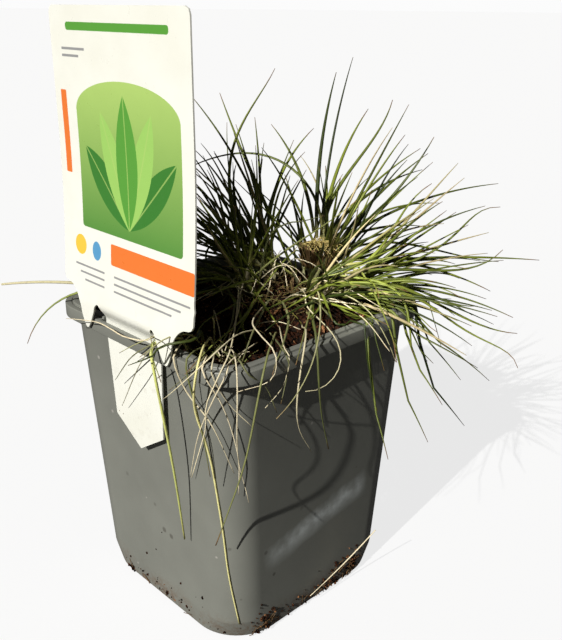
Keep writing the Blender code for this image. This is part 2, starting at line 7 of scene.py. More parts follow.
# %% Load the frame
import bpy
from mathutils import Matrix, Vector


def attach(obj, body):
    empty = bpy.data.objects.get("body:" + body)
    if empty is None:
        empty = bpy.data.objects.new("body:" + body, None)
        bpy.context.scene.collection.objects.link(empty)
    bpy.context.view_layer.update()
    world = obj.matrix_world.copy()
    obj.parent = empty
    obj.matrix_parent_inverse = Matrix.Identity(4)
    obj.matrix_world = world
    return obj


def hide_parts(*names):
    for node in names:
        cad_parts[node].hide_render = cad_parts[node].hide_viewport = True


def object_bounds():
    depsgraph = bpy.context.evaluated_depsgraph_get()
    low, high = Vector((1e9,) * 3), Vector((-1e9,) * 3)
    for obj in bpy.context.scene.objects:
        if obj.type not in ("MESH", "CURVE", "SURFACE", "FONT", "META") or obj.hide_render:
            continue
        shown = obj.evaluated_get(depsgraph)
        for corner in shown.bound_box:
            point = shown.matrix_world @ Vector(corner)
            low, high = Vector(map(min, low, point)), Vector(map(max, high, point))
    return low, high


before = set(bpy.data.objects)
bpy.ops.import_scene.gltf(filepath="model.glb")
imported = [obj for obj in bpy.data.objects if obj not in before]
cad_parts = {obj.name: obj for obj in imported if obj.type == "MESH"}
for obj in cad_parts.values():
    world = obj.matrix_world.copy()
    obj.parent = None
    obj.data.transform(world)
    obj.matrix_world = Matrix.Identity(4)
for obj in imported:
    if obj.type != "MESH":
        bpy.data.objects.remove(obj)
cad_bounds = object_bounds()
print("nodes", len(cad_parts), "box", cad_bounds)

# %% [markdown]
# ## Units and small tools
# The pot's drawing is in millimetres, so this lesson thinks in millimetres too and shrinks each
# mesh to metres as the last step. A few small functions are used everywhere: they put a mesh, a lamp
# or a camera into the scene, hand a finished piece over to the frame, and ease a share from 0 to 1
# with level ends. Fine leaves keep a little room to the box of the solids.

# %% Units, easing and mesh making
import math
from collections import namedtuple

import bmesh
import bpy
import numpy as np
from mathutils import Matrix, Vector, noise

MM = 0.001
BOX_ROOM = 0.7
BOX_LOW = np.array(cad_bounds[0]) / MM + BOX_ROOM
BOX_HIGH = np.array(cad_bounds[1]) / MM - BOX_ROOM


def eased(share):
    share = np.clip(share, 0.0, 1.0)
    return share * share * (3 - 2 * share)


def linked(name, data):
    """Puts a mesh, a lamp or a camera into the scene as an object."""
    made = bpy.data.objects.new(name, data)
    bpy.context.scene.collection.objects.link(made)
    return made


def object_from(name, bm):
    """Puts what a bmesh holds into the scene as an object, and lets the bmesh go."""
    mesh = bpy.data.meshes.new(name)
    bm.to_mesh(mesh)
    bm.free()
    return linked(name, mesh)


def mesh_object(name, points, faces, finish, smooth=True):
    """A mesh object with one finish, from points in millimetres."""
    mesh = bpy.data.meshes.new(name)
    mesh.from_pydata((np.asarray(points, float) * MM).tolist(), [], faces)
    mesh.validate()
    mesh.materials.append(finish)
    if smooth:
        mesh.shade_smooth()
    return linked(name, mesh)


def placed(piece, slot, *nodes):
    """Rides a piece on the pot's body and hides the solids that it stands for. Its slot is not used."""
    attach(piece, "root")
    if nodes:
        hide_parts(*nodes)
    print(piece.name, "has", len(piece.data.polygons), "faces")


print("one millimetre is", MM, "m, and fine leaves keep", BOX_ROOM, "mm inside the box")

# %% [markdown]
# ## The camera
# The picture was taken from close by, looking down on one corner of the pot, so upright edges lean
# together towards the foot. The camera's place, turn and lens below were found by matching the
# pot's rim, the label's corners and the pot's foot to a pot of standard size.

# %% The camera
CAMERA_PLACE = Vector((190.56, -167.40, 193.02))
CAMERA_YAW = math.radians(45.614)
CAMERA_PITCH = math.radians(21.288)
CAMERA_ROLL = math.radians(0.472)
CAMERA_LENS = 45.29
CAMERA_SENSOR = 36.0
CAMERA_NEAREST = 10.0


def camera_matrix():
    yaw, pitch, roll = CAMERA_YAW, CAMERA_PITCH, CAMERA_ROLL
    back = Vector((math.sin(yaw) * math.cos(pitch), -math.cos(yaw) * math.cos(pitch), math.sin(pitch)))
    right = Vector((math.cos(yaw), math.sin(yaw), 0.0))
    up = back.cross(right)
    leaning_right = math.cos(roll) * right + math.sin(roll) * up
    leaning_up = math.cos(roll) * up - math.sin(roll) * right
    turn = Matrix((leaning_right, leaning_up, back)).transposed().to_4x4()
    return Matrix.Translation(CAMERA_PLACE * MM) @ turn


camera = linked("camera", bpy.data.cameras.new("camera"))
camera.data.lens = CAMERA_LENS
camera.data.sensor_width = CAMERA_SENSOR
camera.data.clip_start = CAMERA_NEAREST * MM
camera.matrix_world = camera_matrix()
bpy.context.scene.camera = camera
print("camera at", tuple(round(v, 4) for v in camera.matrix_world.translation))

# %% [markdown]
# ## Wiring helpers for finishes
# A finish in Blender is a small circuit of nodes. A few helpers keep the circuits short: one adds a
# node and wires or sets its inputs, and the others add the steps that come back most often, such as
# arithmetic, a mix of two colours, or soft noise. The last ones start a node group or a material.

# %% Wiring helpers
FLOAT, VECTOR, COLOUR = "NodeSocketFloat", "NodeSocketVector", "NodeSocketColor"


def wired(tree, socket, value):
    """Gives an input a value or another node's output."""
    if isinstance(value, bpy.types.NodeSocket):
        tree.links.new(value, socket)
    else:
        socket.default_value = value


def place(tree, kind, inputs=(), **settings):
    """Adds one node. Its inputs, by name or number, take a value or another node's output."""
    made = tree.nodes.new(kind)
    for name, value in settings.items():
        setattr(made, name, value)
    for socket, value in dict(inputs).items():
        wired(tree, made.inputs[socket], value)
    return made


def sums(tree, operation, *values, clamp=False):
    """One step of arithmetic."""
    made = place(tree, "ShaderNodeMath", enumerate(values), operation=operation, use_clamp=clamp)
    return made.outputs[0]


def product(tree, first, *others):
    for other in others:
        first = sums(tree, "MULTIPLY", first, other)
    return first


def vectors(tree, operation, first, second):
    """One step of arithmetic on two vectors. It returns the node's outputs."""
    return place(tree, "ShaderNodeVectorMath", {0: first, 1: second}, operation=operation).outputs


def mixed(tree, share, first, second, blend="MIX"):
    inputs = {0: share, 6: first, 7: second}
    return place(tree, "ShaderNodeMix", inputs, data_type="RGBA", blend_type=blend).outputs[2]


def toned(tree, colour, tone):
    """A colour made lighter or darker by a tone round 1."""
    grey = place(tree, "ShaderNodeCombineColor", {0: tone, 1: tone, 2: tone}).outputs[0]
    return mixed(tree, 1.0, colour, grey, "MULTIPLY")


def ramp(tree, value, low, high, start=0.0, end=1.0):
    """Maps a value from low..high to start..end, held at both ends."""
    inputs = {0: value, 1: low, 2: high, 3: start, 4: end}
    return place(tree, "ShaderNodeMapRange", inputs).outputs[0]


print("wiring helpers for sockets of the kinds", FLOAT, VECTOR, COLOUR)

# %% Helpers that read the surface
def millimetres(tree):
    """The point being shaded, in the object's own frame and in millimetres."""
    spot = place(tree, "ShaderNodeTexCoord").outputs["Object"]
    return place(tree, "ShaderNodeVectorMath", {0: spot, "Scale": 1 / MM}, operation="SCALE").outputs[0]


def axes(tree, spot):
    """The x, y and z of a point."""
    return tuple(place(tree, "ShaderNodeSeparateXYZ", {0: spot}).outputs)


def mottle(tree, spot, scale, detail=3.0, rough=0.55):
    """Soft noise from 0 to 1, with this many lumps to a millimetre."""
    inputs = {"Vector": spot, "Scale": scale, "Detail": detail, "Roughness": rough}
    return place(tree, "ShaderNodeTexNoise", inputs).outputs["Fac"]


def kept_number(tree, name):
    """The number that the mesh keeps at this point under a name."""
    return place(tree, "ShaderNodeAttribute", attribute_name=name).outputs["Fac"]


print("a millimetre is one unit of each finish's own measure")

# %% Helpers that start a group or a finish
def new_group(name, inputs, outputs):
    """A node group with named sockets. It returns the tree, its inputs and its output node."""
    tree = bpy.data.node_groups.new(name, "ShaderNodeTree")
    for title, kind, value in inputs:
        socket = tree.interface.new_socket(title, in_out="INPUT", socket_type=kind)
        if value is not None:
            socket.default_value = value
    for title, kind in outputs:
        tree.interface.new_socket(title, in_out="OUTPUT", socket_type=kind)
    return tree, tree.nodes.new("NodeGroupInput").outputs, tree.nodes.new("NodeGroupOutput")


def use_group(tree, group, **inputs):
    """Places a group. An underscore in an input's name stands for the blank in its socket's."""
    made = place(tree, "ShaderNodeGroup", node_tree=group)
    for name, value in inputs.items():
        wired(tree, made.inputs[name.replace("_", " ")], value)
    return made


def new_finish(name, roughness, specular=0.5):
    """A material with plain numbers on its shader. It returns the material, its tree and its shader."""
    made = bpy.data.materials.new(name)
    made.use_nodes = True
    shader = made.node_tree.nodes["Principled BSDF"]
    shader.inputs["Roughness"].default_value = roughness
    shader.inputs["Specular IOR Level"].default_value = specular
    return made, made.node_tree, shader


def bumped(tree, shader, height, distance, strength=1.0):
    """Roughens a finish by a height, at most this many millimetres deep."""
    inputs = {"Height": height, "Distance": distance * MM, "Strength": strength}
    bump = place(tree, "ShaderNodeBump", inputs)
    tree.links.new(bump.outputs[0], shader.inputs["Normal"])


print("groups and finishes are started by", new_group.__name__, "and", new_finish.__name__)

# %% [markdown]
# ## Floor and light
# The object stands on a plain pale floor. The key light comes from the left front, nearly along the
# right face of the pot, so the left face gets several times its light. The label keeps the key light
# off the middle of the tuft, and a second, narrow lamp shines steeply past the label onto the crown.
# Floor and sky look pale to the camera but throw little light back, as round the real pot.

# %% Floor and light
FLOOR_METRES = 80.0
FLOOR_GAP = 0.05
FLOOR_PALE = 0.88
FLOOR_BOUNCE = 0.10
FLOOR_GLOW = 0.82
SKY_SEEN = 0.97


def grey(value):
    return value, value, value, 1


def for_camera(tree, seen, thrown):
    """Shows one shader to the camera and lights the rest of the scene with the other."""
    to_camera = place(tree, "ShaderNodeLightPath").outputs["Is Camera Ray"]
    both = place(tree, "ShaderNodeMixShader", {0: to_camera, 1: thrown.outputs[0], 2: seen.outputs[0]})
    return both.outputs[0]


def make_floor():
    bm = bmesh.new()
    bmesh.ops.create_grid(bm, x_segments=2, y_segments=2, size=FLOOR_METRES / 2)
    floor = object_from("floor", bm)
    floor.location.z = -FLOOR_GAP * MM
    made = bpy.data.materials.new("pale_floor")
    made.use_nodes = True
    tree = made.node_tree
    tree.nodes.clear()
    pale = place(tree, "ShaderNodeBsdfDiffuse", {"Color": grey(FLOOR_PALE)})
    glow = place(tree, "ShaderNodeEmission", {"Color": grey(SKY_SEEN)})
    seen = place(tree, "ShaderNodeMixShader", {0: FLOOR_GLOW, 1: pale.outputs[0], 2: glow.outputs[0]})
    thrown = place(tree, "ShaderNodeBsdfDiffuse", {"Color": grey(FLOOR_BOUNCE)})
    place(tree, "ShaderNodeOutputMaterial", {"Surface": for_camera(tree, seen, thrown)})
    floor.data.materials.append(made)


make_floor()
print("floor", FLOOR_METRES, "m across")

# %% Lamps and sky
KEY_TRAVEL = Vector((-0.19, 1.0, -0.75))
KEY_STRENGTH = 4.8
KEY_WIDTH = math.radians(0.6)
KEY_COLOUR = (1.0, 0.985, 0.96)
CROWN_LAMP_AIM = Vector((21.0, 20.0, 108.0))
CROWN_LAMP_TRAVEL = Vector((-0.32, 0.36, -0.88))
CROWN_LAMP_AWAY = 1000.0
CROWN_LAMP_POWER = 56.0
CROWN_LAMP_REACH = 28.0
CROWN_LAMP_EDGE = 0.6
CROWN_LAMP_RADIUS = 6.0
CROWN_LAMP_COLOUR = (1.0, 0.985, 0.95)
SKY_FILL = 0.05
SKY_COLOUR = (0.96, 0.98, 1.0, 1)


def shining(lamp, travel):
    """Links a lamp that shines along this way."""
    made = linked(lamp.name, lamp)
    made.rotation_euler = (-travel).to_track_quat("Z", "Y").to_euler()
    return made


def make_key_light():
    lamp = bpy.data.lights.new("key", "SUN")
    lamp.energy = KEY_STRENGTH
    lamp.angle = KEY_WIDTH
    lamp.color = KEY_COLOUR
    shining(lamp, KEY_TRAVEL)


def make_crown_lamp():
    """A small spot over the crown. Its cone just takes in the tuft."""
    lamp = bpy.data.lights.new("crown_lamp", "SPOT")
    lamp.energy = CROWN_LAMP_POWER
    lamp.shadow_soft_size = CROWN_LAMP_RADIUS * MM
    lamp.spot_size = 2 * math.atan(CROWN_LAMP_REACH / CROWN_LAMP_AWAY)
    lamp.spot_blend = CROWN_LAMP_EDGE
    lamp.color = CROWN_LAMP_COLOUR
    spot = shining(lamp, CROWN_LAMP_TRAVEL)
    spot.location = (CROWN_LAMP_AIM - CROWN_LAMP_TRAVEL.normalized() * CROWN_LAMP_AWAY) * MM


def make_sky():
    world = bpy.data.worlds.new("studio")
    world.use_nodes = True
    tree = world.node_tree
    tree.nodes.clear()
    fill = place(tree, "ShaderNodeBackground", {"Color": SKY_COLOUR, "Strength": SKY_FILL})
    seen = place(tree, "ShaderNodeBackground", {"Color": grey(1), "Strength": SKY_SEEN})
    place(tree, "ShaderNodeOutputWorld", {"Surface": for_camera(tree, seen, fill)})
    bpy.context.scene.world = world


make_key_light()
make_crown_lamp()
make_sky()
bpy.context.scene.view_settings.view_transform = "Standard"
print("key light travels along", tuple(round(v, 2) for v in KEY_TRAVEL.normalized()))

# %% [markdown]
# ## Effects that several finishes share
# Pot and label both carry specks of dust and earth, and every leaf has the same run of colour from
# its pale foot to its dried tip. Each of these effects is a node group, built once. A finish places
# it with its own numbers, so that dust on the label and dust on the pot come from one rule. A third
# group draws a worn streak, for the scuff on the pot.

# %% Group: scattered specks
LEAST_SPECK = 0.35
SPECK_CORE = 0.6


def build_specks():
    """Small scattered spots: a cell pattern whose cells keep a spot only where a random draw allows."""
    tree, given, out = new_group(
        "scattered_specks",
        [("Spot", VECTOR, None), ("Per mm", FLOAT, 0.3), ("Share", FLOAT, 0.2), ("Size", FLOAT, 0.2)],
        [("Mask", FLOAT)])
    cells = place(tree, "ShaderNodeTexVoronoi", {"Vector": given["Spot"], "Scale": given["Per mm"]})
    drawn = place(tree, "ShaderNodeSeparateColor", {0: cells.outputs["Color"]}).outputs
    chosen = sums(tree, "LESS_THAN", drawn[0], given["Share"])
    reach = product(tree, given["Size"], sums(tree, "ADD", drawn[1], LEAST_SPECK))
    inside = sums(tree, "DIVIDE", cells.outputs["Distance"], reach)
    tree.links.new(product(tree, ramp(tree, inside, 1.0, SPECK_CORE), chosen), out.inputs["Mask"])
    return tree


SPECKS = build_specks()
print("group", SPECKS.name, "inputs", [socket.name for socket in SPECKS.interface.items_tree])

# %% Group: a worn streak
STREAK_WANDER = 5.0


def build_streak():
    """A soft-ended streak between two points on a surface, broken up by noise along its length."""
    tree, given, out = new_group(
        "worn_streak",
        [("Spot", VECTOR, None), ("Start", VECTOR, None), ("Way", VECTOR, None), ("Across", VECTOR, None),
         ("Length", FLOAT, 40.0), ("Width", FLOAT, 3.0)],
        [("Mask", FLOAT)])
    offset = vectors(tree, "SUBTRACT", given["Spot"], given["Start"])[0]
    along = vectors(tree, "DOT_PRODUCT", offset, given["Way"])["Value"]
    across = vectors(tree, "DOT_PRODUCT", offset, given["Across"])["Value"]
    share = sums(tree, "DIVIDE", along, given["Length"])
    wave = sums(tree, "SUBTRACT", mottle(tree, given["Spot"], 0.11), 0.5)
    off = sums(tree, "ABSOLUTE", sums(tree, "ADD", across, product(tree, wave, STREAK_WANDER)))
    side = ramp(tree, sums(tree, "DIVIDE", off, given["Width"]), 1.0, 0.1)
    ends = product(tree, ramp(tree, share, -0.04, 0.04), ramp(tree, share, 1.02, 0.92),
                   ramp(tree, share, 0.0, 0.35, 0.45, 1.0))
    broken = ramp(tree, mottle(tree, given["Spot"], 0.22, 5.0, 0.6), 0.34, 0.62, 0.45, 1.0)
    tree.links.new(product(tree, side, ends, broken), out.inputs["Mask"])
    return tree


STREAK = build_streak()
print("group", STREAK.name)

# %% Group: leaf colours
NEEDLE_NUMBERS = ("along", "tone", "dryness")


def build_leaf_colours():
    """A needle's colour along its length: pale at the foot, green, then dry and brown at the tip."""
    tree, given, out = new_group(
        "leaf_colours",
        [("Dark", COLOUR, (0.03, 0.07, 0.015, 1)), ("Light", COLOUR, (0.2, 0.26, 0.05, 1)),
         ("Straw", COLOUR, (0.5, 0.36, 0.16, 1)), ("Foot", COLOUR, (0.4, 0.36, 0.12, 1)),
         ("Tip", COLOUR, (0.16, 0.08, 0.03, 1)), ("Spot", VECTOR, None)],
        [("Color", COLOUR), ("Gloss", FLOAT)])
    along, tone, dryness = [kept_number(tree, name) for name in NEEDLE_NUMBERS]
    green = mixed(tree, tone, given["Dark"], given["Light"])
    green = toned(tree, green, ramp(tree, mottle(tree, given["Spot"], 0.35, 2.0), 0.3, 0.7, 0.78, 1.2))
    footed = mixed(tree, ramp(tree, along, 0.16, 0.02), green, given["Foot"])
    stained = ramp(tree, mottle(tree, given["Spot"], 0.6, 3.0), 0.45, 0.8, 0.0, 0.4)
    straw = mixed(tree, stained, given["Straw"], given["Tip"])
    dried = mixed(tree, dryness, footed, straw)
    tip_start = sums(tree, "SUBTRACT", 0.98, product(tree, tone, 0.1))
    browned = ramp(tree, sums(tree, "SUBTRACT", along, tip_start), -0.02, 0.05)
    browned = product(tree, browned, ramp(tree, dryness, 0.5, 0.2))
    tree.links.new(mixed(tree, browned, dried, given["Tip"]), out.inputs["Color"])
    tree.links.new(sums(tree, "SUBTRACT", 1.0, product(tree, dryness, 0.6)), out.inputs["Gloss"])
    return tree


LEAF_COLOURS = build_leaf_colours()
print("group", LEAF_COLOURS.name)

# %% [markdown]
# ## The pot: shape
# A nursery pot is one thin shell of injection-moulded plastic. Seen in section it runs out over the
# underside, up the tapered wall, round a hooked rim with a skirt and a raised bead, and back down
# inside. A section swept round a square with round corners gives exactly that, so the mesh is a
# stack of rounded squares. Each corner of the section is first eased by a small arc, because real
# moulded edges are never sharp and it is these edges that catch the light.

# %% Pot dimensions
RIM_HALF = 45.0
RIM_CORNER = 13.0
SKIRT_FOOT_Z = 97.2
LEDGE_Z = 101.5
LEDGE_UNDERSIDE_Z = 100.3
POT_HEIGHT = 102.0
WALL = 1.2
WALL_TOP_HALF = 41.4
WALL_TOP_CORNER = 10.5
BASE_HALF = 37.0
BASE_CORNER = 12.5
FOOT_CORNER = 17.5
FOOT_BEVEL_Z = 8.0
FLOOR = 1.3
CHANNEL_Z = 3.0
CORNER_STEPS = 14
EDGE_STEPS = 3
EDGE_EASE = 0.35
LESS_THAN_HALF = 2.1

# Each point of the section gives half the pot's width there, the radius of its corner, and a height.
POT_SECTION = [
    (15.0, 7.0, 0.0), (17.0, 8.0, CHANNEL_Z), (29.0, 13.0, CHANNEL_Z), (31.0, 14.0, 0.0),
    (BASE_HALF - 1.0, FOOT_CORNER - 1.0, 0.0), (BASE_HALF, FOOT_CORNER - 0.6, 1.0),
    (37.35, BASE_CORNER, FOOT_BEVEL_Z), (WALL_TOP_HALF, WALL_TOP_CORNER, LEDGE_UNDERSIDE_Z),
    (RIM_HALF - WALL, RIM_CORNER - WALL, LEDGE_UNDERSIDE_Z),
    (RIM_HALF - WALL, RIM_CORNER - WALL, SKIRT_FOOT_Z), (RIM_HALF, RIM_CORNER, SKIRT_FOOT_Z),
    (RIM_HALF, RIM_CORNER, LEDGE_Z), (43.05, 11.3, LEDGE_Z), (42.9, 11.1, LEDGE_Z - 0.35),
    (42.7, 11.0, LEDGE_Z - 0.2), (42.7, 11.0, POT_HEIGHT), (40.5, 9.5, POT_HEIGHT),
    (WALL_TOP_HALF - WALL, 9.3, LEDGE_Z - 0.6), (36.15, 11.3, FOOT_BEVEL_Z),
    (34.8, 14.4, FLOOR), (31.9, 14.3, FLOOR), (29.9, 13.4, CHANNEL_Z + FLOOR),
    (16.1, 7.6, CHANNEL_Z + FLOOR), (14.1, 6.6, FLOOR),
]
print("pot section", len(POT_SECTION), "points")

# %% Pot skin
def rounded_square(half, corner, z):
    """Points round a square of this half width, counter-clockwise from +X, with round corners."""
    points = []
    for quarter in range(4):
        middle = math.radians(45 + 90 * quarter)
        reach = (half - corner) * math.sqrt(2)
        centre = (math.cos(middle) * reach, math.sin(middle) * reach)
        for step in range(CORNER_STEPS + 1):
            angle = math.radians(90 * quarter + 90 * step / CORNER_STEPS)
            points.append((centre[0] + math.cos(angle) * corner, centre[1] + math.sin(angle) * corner, z))
    return points


def eased_section(section):
    """Each inner corner of the section becomes a short arc that starts a little way before it."""
    section = [np.array(point) for point in section]
    made = [section[0]]
    for before, here, after in zip(section, section[1:], section[2:]):
        ends = []
        for other in (before, after):
            length = np.linalg.norm((other - here)[[0, 2]])
            ends.append(here + (other - here) * min(EDGE_EASE, length / LESS_THAN_HALF) / length)
        for share in np.linspace(0, 1, EDGE_STEPS + 1):
            made.append(ends[0] * (1 - share) ** 2 + here * 2 * share * (1 - share) + ends[1] * share ** 2)
    made.append(section[-1])
    return made


def lofted(loops):
    """Points and faces of a skin over a stack of loops of equal length, closed at both ends."""
    count = len(loops[0])
    faces = [list(range(count)), list(range((len(loops) - 1) * count, len(loops) * count))[::-1]]
    for row in range(len(loops) - 1):
        low = row * count
        for i in range(count):
            j = (i + 1) % count
            faces.append((low + j, low + i, low + i + count, low + j + count))
    return np.concatenate([np.array(loop) for loop in loops]), faces


pot_loops = [rounded_square(*point) for point in eased_section(POT_SECTION)]
print("pot section", len(pot_loops), "loops of", len(pot_loops[0]), "points")

# %% [markdown]
# ## The pot: finish
# The plastic is a mid grey with a satin skin, slightly wavy from the mould. A diagonal scuff runs
# over the right face, pale dust specks lie all over and dried earth clings to the foot in patches.
# Each of these is a mask that mixes a second colour in. Scuff and earth also make the surface duller.
# Towards the rim the grey is darkened by a tenth: painted shade under the rim's skirt.

# %% Grey plastic
PLASTIC = (0.212, 0.216, 0.187, 1)
PLASTIC_WORN = (0.66, 0.70, 0.68, 1)
EARTH_DUST = (0.13, 0.07, 0.035, 1)
EARTH_DARK = (0.03, 0.02, 0.012, 1)
PALE_DUST = (0.55, 0.52, 0.47, 1)
SATIN = 0.42
DULL = 0.75
SCUFF_START = (38.5, -23.3, 29.9)
SCUFF_END = (38.7, 22.9, 39.2)
SCUFF_WIDTH = 5.4
RIGHT_FACE_X = (30.0, 34.0)
EARTH_TOP_Z = 12.0
CRUMBS_Z = (60.0, 10.0)
PAINTED_RIM_SHADE_Z = (60.0, 97.0)


def scuff_mask(tree, spot, x):
    """The streak, kept to the right face."""
    way = Vector(SCUFF_END) - Vector(SCUFF_START)
    length = way.length
    way.normalize()
    streak = use_group(tree, STREAK, Spot=spot, Start=SCUFF_START, Way=way,
                       Across=way.cross(Vector((1, 0, 0))), Length=length, Width=SCUFF_WIDTH)
    return product(tree, streak.outputs[0], ramp(tree, x, *RIGHT_FACE_X))


def earth_mask(tree, spot, z):
    """Grainy patches, thickest at the very foot."""
    low = ramp(tree, z, EARTH_TOP_Z, 1.0)
    patches = ramp(tree, mottle(tree, spot, 0.09, 4.0, 0.6), 0.40, 0.56)
    grains = ramp(tree, mottle(tree, spot, 0.6, 6.0, 0.8), 0.42, 0.58)
    return product(tree, patches, grains, sums(tree, "POWER", low, 1.3))


def plastic_colour(tree, spot, z, scuff, earth):
    """The plastic's own grey, darkened towards the rim by painted shade, with scuff, dust, crumbs and earth
    laid over it.
    """
    tone = ramp(tree, mottle(tree, spot, 0.05, 3.0), 0.3, 0.7, 0.93, 1.06)
    # Painted shade: the grey is up to a tenth darker from 60 mm up to the skirt, where the rim's shadow
    # falls.
    tone = product(tree, tone, ramp(tree, z, *PAINTED_RIM_SHADE_Z, 1.0, 0.90))
    dust = use_group(tree, SPECKS, Spot=spot, Per_mm=0.20, Share=0.14, Size=0.13).outputs[0]
    stuck = use_group(tree, SPECKS, Spot=spot, Per_mm=0.26, Share=0.11, Size=0.24).outputs[0]
    colour = mixed(tree, scuff, toned(tree, PLASTIC, tone), PLASTIC_WORN)
    colour = mixed(tree, product(tree, dust, 0.45), colour, PALE_DUST)
    colour = mixed(tree, product(tree, stuck, ramp(tree, z, *CRUMBS_Z), 0.8), colour, EARTH_DARK)
    return mixed(tree, product(tree, earth, 0.9), colour, EARTH_DUST)


def grey_plastic():
    made, tree, shader = new_finish("satin_grey_plastic", SATIN)
    spot = millimetres(tree)
    x, _, z = axes(tree, spot)
    scuff, earth = scuff_mask(tree, spot, x), earth_mask(tree, spot, z)
    tree.links.new(plastic_colour(tree, spot, z, scuff, earth), shader.inputs["Base Color"])
    rough = ramp(tree, sums(tree, "ADD", scuff, earth, clamp=True), 0.0, 1.0, SATIN, DULL)
    fine = ramp(tree, mottle(tree, spot, 1.3, 2.0), 0.0, 1.0, -0.05, 0.05)
    tree.links.new(sums(tree, "ADD", rough, fine), shader.inputs["Roughness"])
    skin = product(tree, mottle(tree, spot, 2.6, 2.0), 0.12)
    waves = product(tree, mottle(tree, spot, 0.045, 2.0), 0.6)
    bumped(tree, shader, sums(tree, "ADD", skin, waves), 0.35, 0.6)
    return made


plastic = grey_plastic()
print("finish", plastic.name, "with", len(plastic.node_tree.nodes), "nodes")

# %% [markdown]
# ## The pot: holes and slot
# Four round holes in the middle of the underside and four at its corners let water out, and a slot
# in the front rim takes the tongue of the label. All nine are cut at once by a helper mesh.

# %% Cut the pot
# Reach from the pot's middle and radius. A corner hole's reach is counted along each side.
MIDDLE_HOLE = (23.0, 3.5)
CORNER_HOLE = (21.5, 4.0)
HOLE_SIDES = 32
HOLE_DEPTH = 12.0
SLOT_LOW = (-16.0, -43.9, 98.0)
SLOT_HIGH = (16.0, -42.0, 105.0)
POT_SHARP_ANGLE = math.radians(38)


def add_plug(bm, turn, reach, radius):
    angle = math.radians(turn)
    where = Matrix.Translation((math.cos(angle) * reach, math.sin(angle) * reach, CHANNEL_Z))
    bmesh.ops.create_cone(bm, cap_ends=True, segments=HOLE_SIDES, radius1=radius, radius2=radius,
                          depth=HOLE_DEPTH, matrix=where)


def make_cutter():
    bm = bmesh.new()
    for quarter in range(4):
        add_plug(bm, 90 * quarter, *MIDDLE_HOLE)
        add_plug(bm, 45 + 90 * quarter, CORNER_HOLE[0] * math.sqrt(2), CORNER_HOLE[1])
    low, high = Vector(SLOT_LOW), Vector(SLOT_HIGH)
    size = Matrix.Diagonal((*(high - low), 1.0))
    bmesh.ops.create_cube(bm, size=1.0, matrix=Matrix.Translation((low + high) / 2) @ size)
    bmesh.ops.scale(bm, vec=(MM, MM, MM), verts=bm.verts)
    return object_from("cutter", bm)


def settled(piece):
    """Makes the mesh that a piece's modifiers give its own mesh."""
    graph = bpy.context.evaluated_depsgraph_get()
    changed = bpy.data.meshes.new_from_object(piece.evaluated_get(graph))
    piece.modifiers.clear()
    piece.data = changed


def cut_by(piece, cutter):
    """Cuts the piece with a Boolean and keeps the cut mesh. The cutter is then removed."""
    modifier = piece.modifiers.new("cut", "BOOLEAN")
    modifier.operation = "DIFFERENCE"
    modifier.object = cutter
    settled(piece)
    bpy.data.objects.remove(cutter, do_unlink=True)


pot = mesh_object("grey_square_pot", *lofted(pot_loops), plastic)
cut_by(pot, make_cutter())
pot.data.shade_smooth()
pot.data.set_sharp_from_angle(angle=POT_SHARP_ANGLE)
placed(pot, "grey_plastic", "pot")

# %% [markdown]
# ## The label: shape
# A plant label is die-cut from a half-millimetre plastic card. Its wide part stands in front of the
# pot, bends forward over the rim, and a narrow tongue between two notches goes down through the
# slot and shows again below it. So the flat outline comes first; it is cut across at many heights
# and widths, bent as the pot bends it, and only then given its thickness.

# %% Label outline
LABEL_TOP_Z = 193.0
NECK_TOP_Z = 107.4
NECK_FOOT_Z = 101.9
TONGUE_TIP_Z = 61.8
NOTCH_X = 14.8
HALF_LABEL = [
    (30.6, LABEL_TOP_Z), (32.0, 192.4), (32.5, 191.0), (32.6, 113.2), (31.4, 111.8), (28.0, 110.9),
    (25.3, 108.6), (23.5, 105.2), (22.8, 102.0), (20.9, 98.5), (19.2, 99.3), (16.8, 103.4), (15.5, 106.3),
    (14.2, NECK_TOP_Z), (13.2, 106.9), (12.9, 105.3), (13.5, 103.0), (14.2, 100.5), (12.4, 70.0),
]
SOFT_STRETCH = slice(3, 17)
SOFT_POINTS = 66
CURVE_STEPS = 8


def smooth_path(points, count):
    """Even steps along a curve that runs smoothly through the points."""
    points = np.array(points, float)
    ends = np.concatenate([[2 * points[0] - points[1]], points, [2 * points[-1] - points[-2]]])
    share = np.linspace(0, 1, CURVE_STEPS + 1)[:-1, None]
    curve = []
    for a, b, c, d in zip(ends, ends[1:], ends[2:], ends[3:]):
        curve.append(0.5 * (2 * b + (c - a) * share + (2 * a - 5 * b + 4 * c - d) * share ** 2
                            + (3 * b - a - 3 * c + d) * share ** 3))
    curve = np.concatenate(curve + [points[-1:]])
    run = np.concatenate([[0], np.cumsum(np.linalg.norm(np.diff(curve, axis=0), axis=1))])
    wanted = np.linspace(0, run[-1], count)
    return np.stack([np.interp(wanted, run, curve[:, axis]) for axis in range(curve.shape[1])], axis=1)


def label_outline():
    """The right half with its notch drawn as a smooth curve, then its mirror image."""
    soft = [tuple(point) for point in smooth_path(HALF_LABEL[SOFT_STRETCH], SOFT_POINTS)]
    half = HALF_LABEL[:SOFT_STRETCH.start] + soft + HALF_LABEL[SOFT_STRETCH.stop:]
    mirrored = [(-x, z) for x, z in reversed(half)]
    return half + [(0.0, TONGUE_TIP_Z)] + mirrored


print("label outline", len(label_outline()), "points")

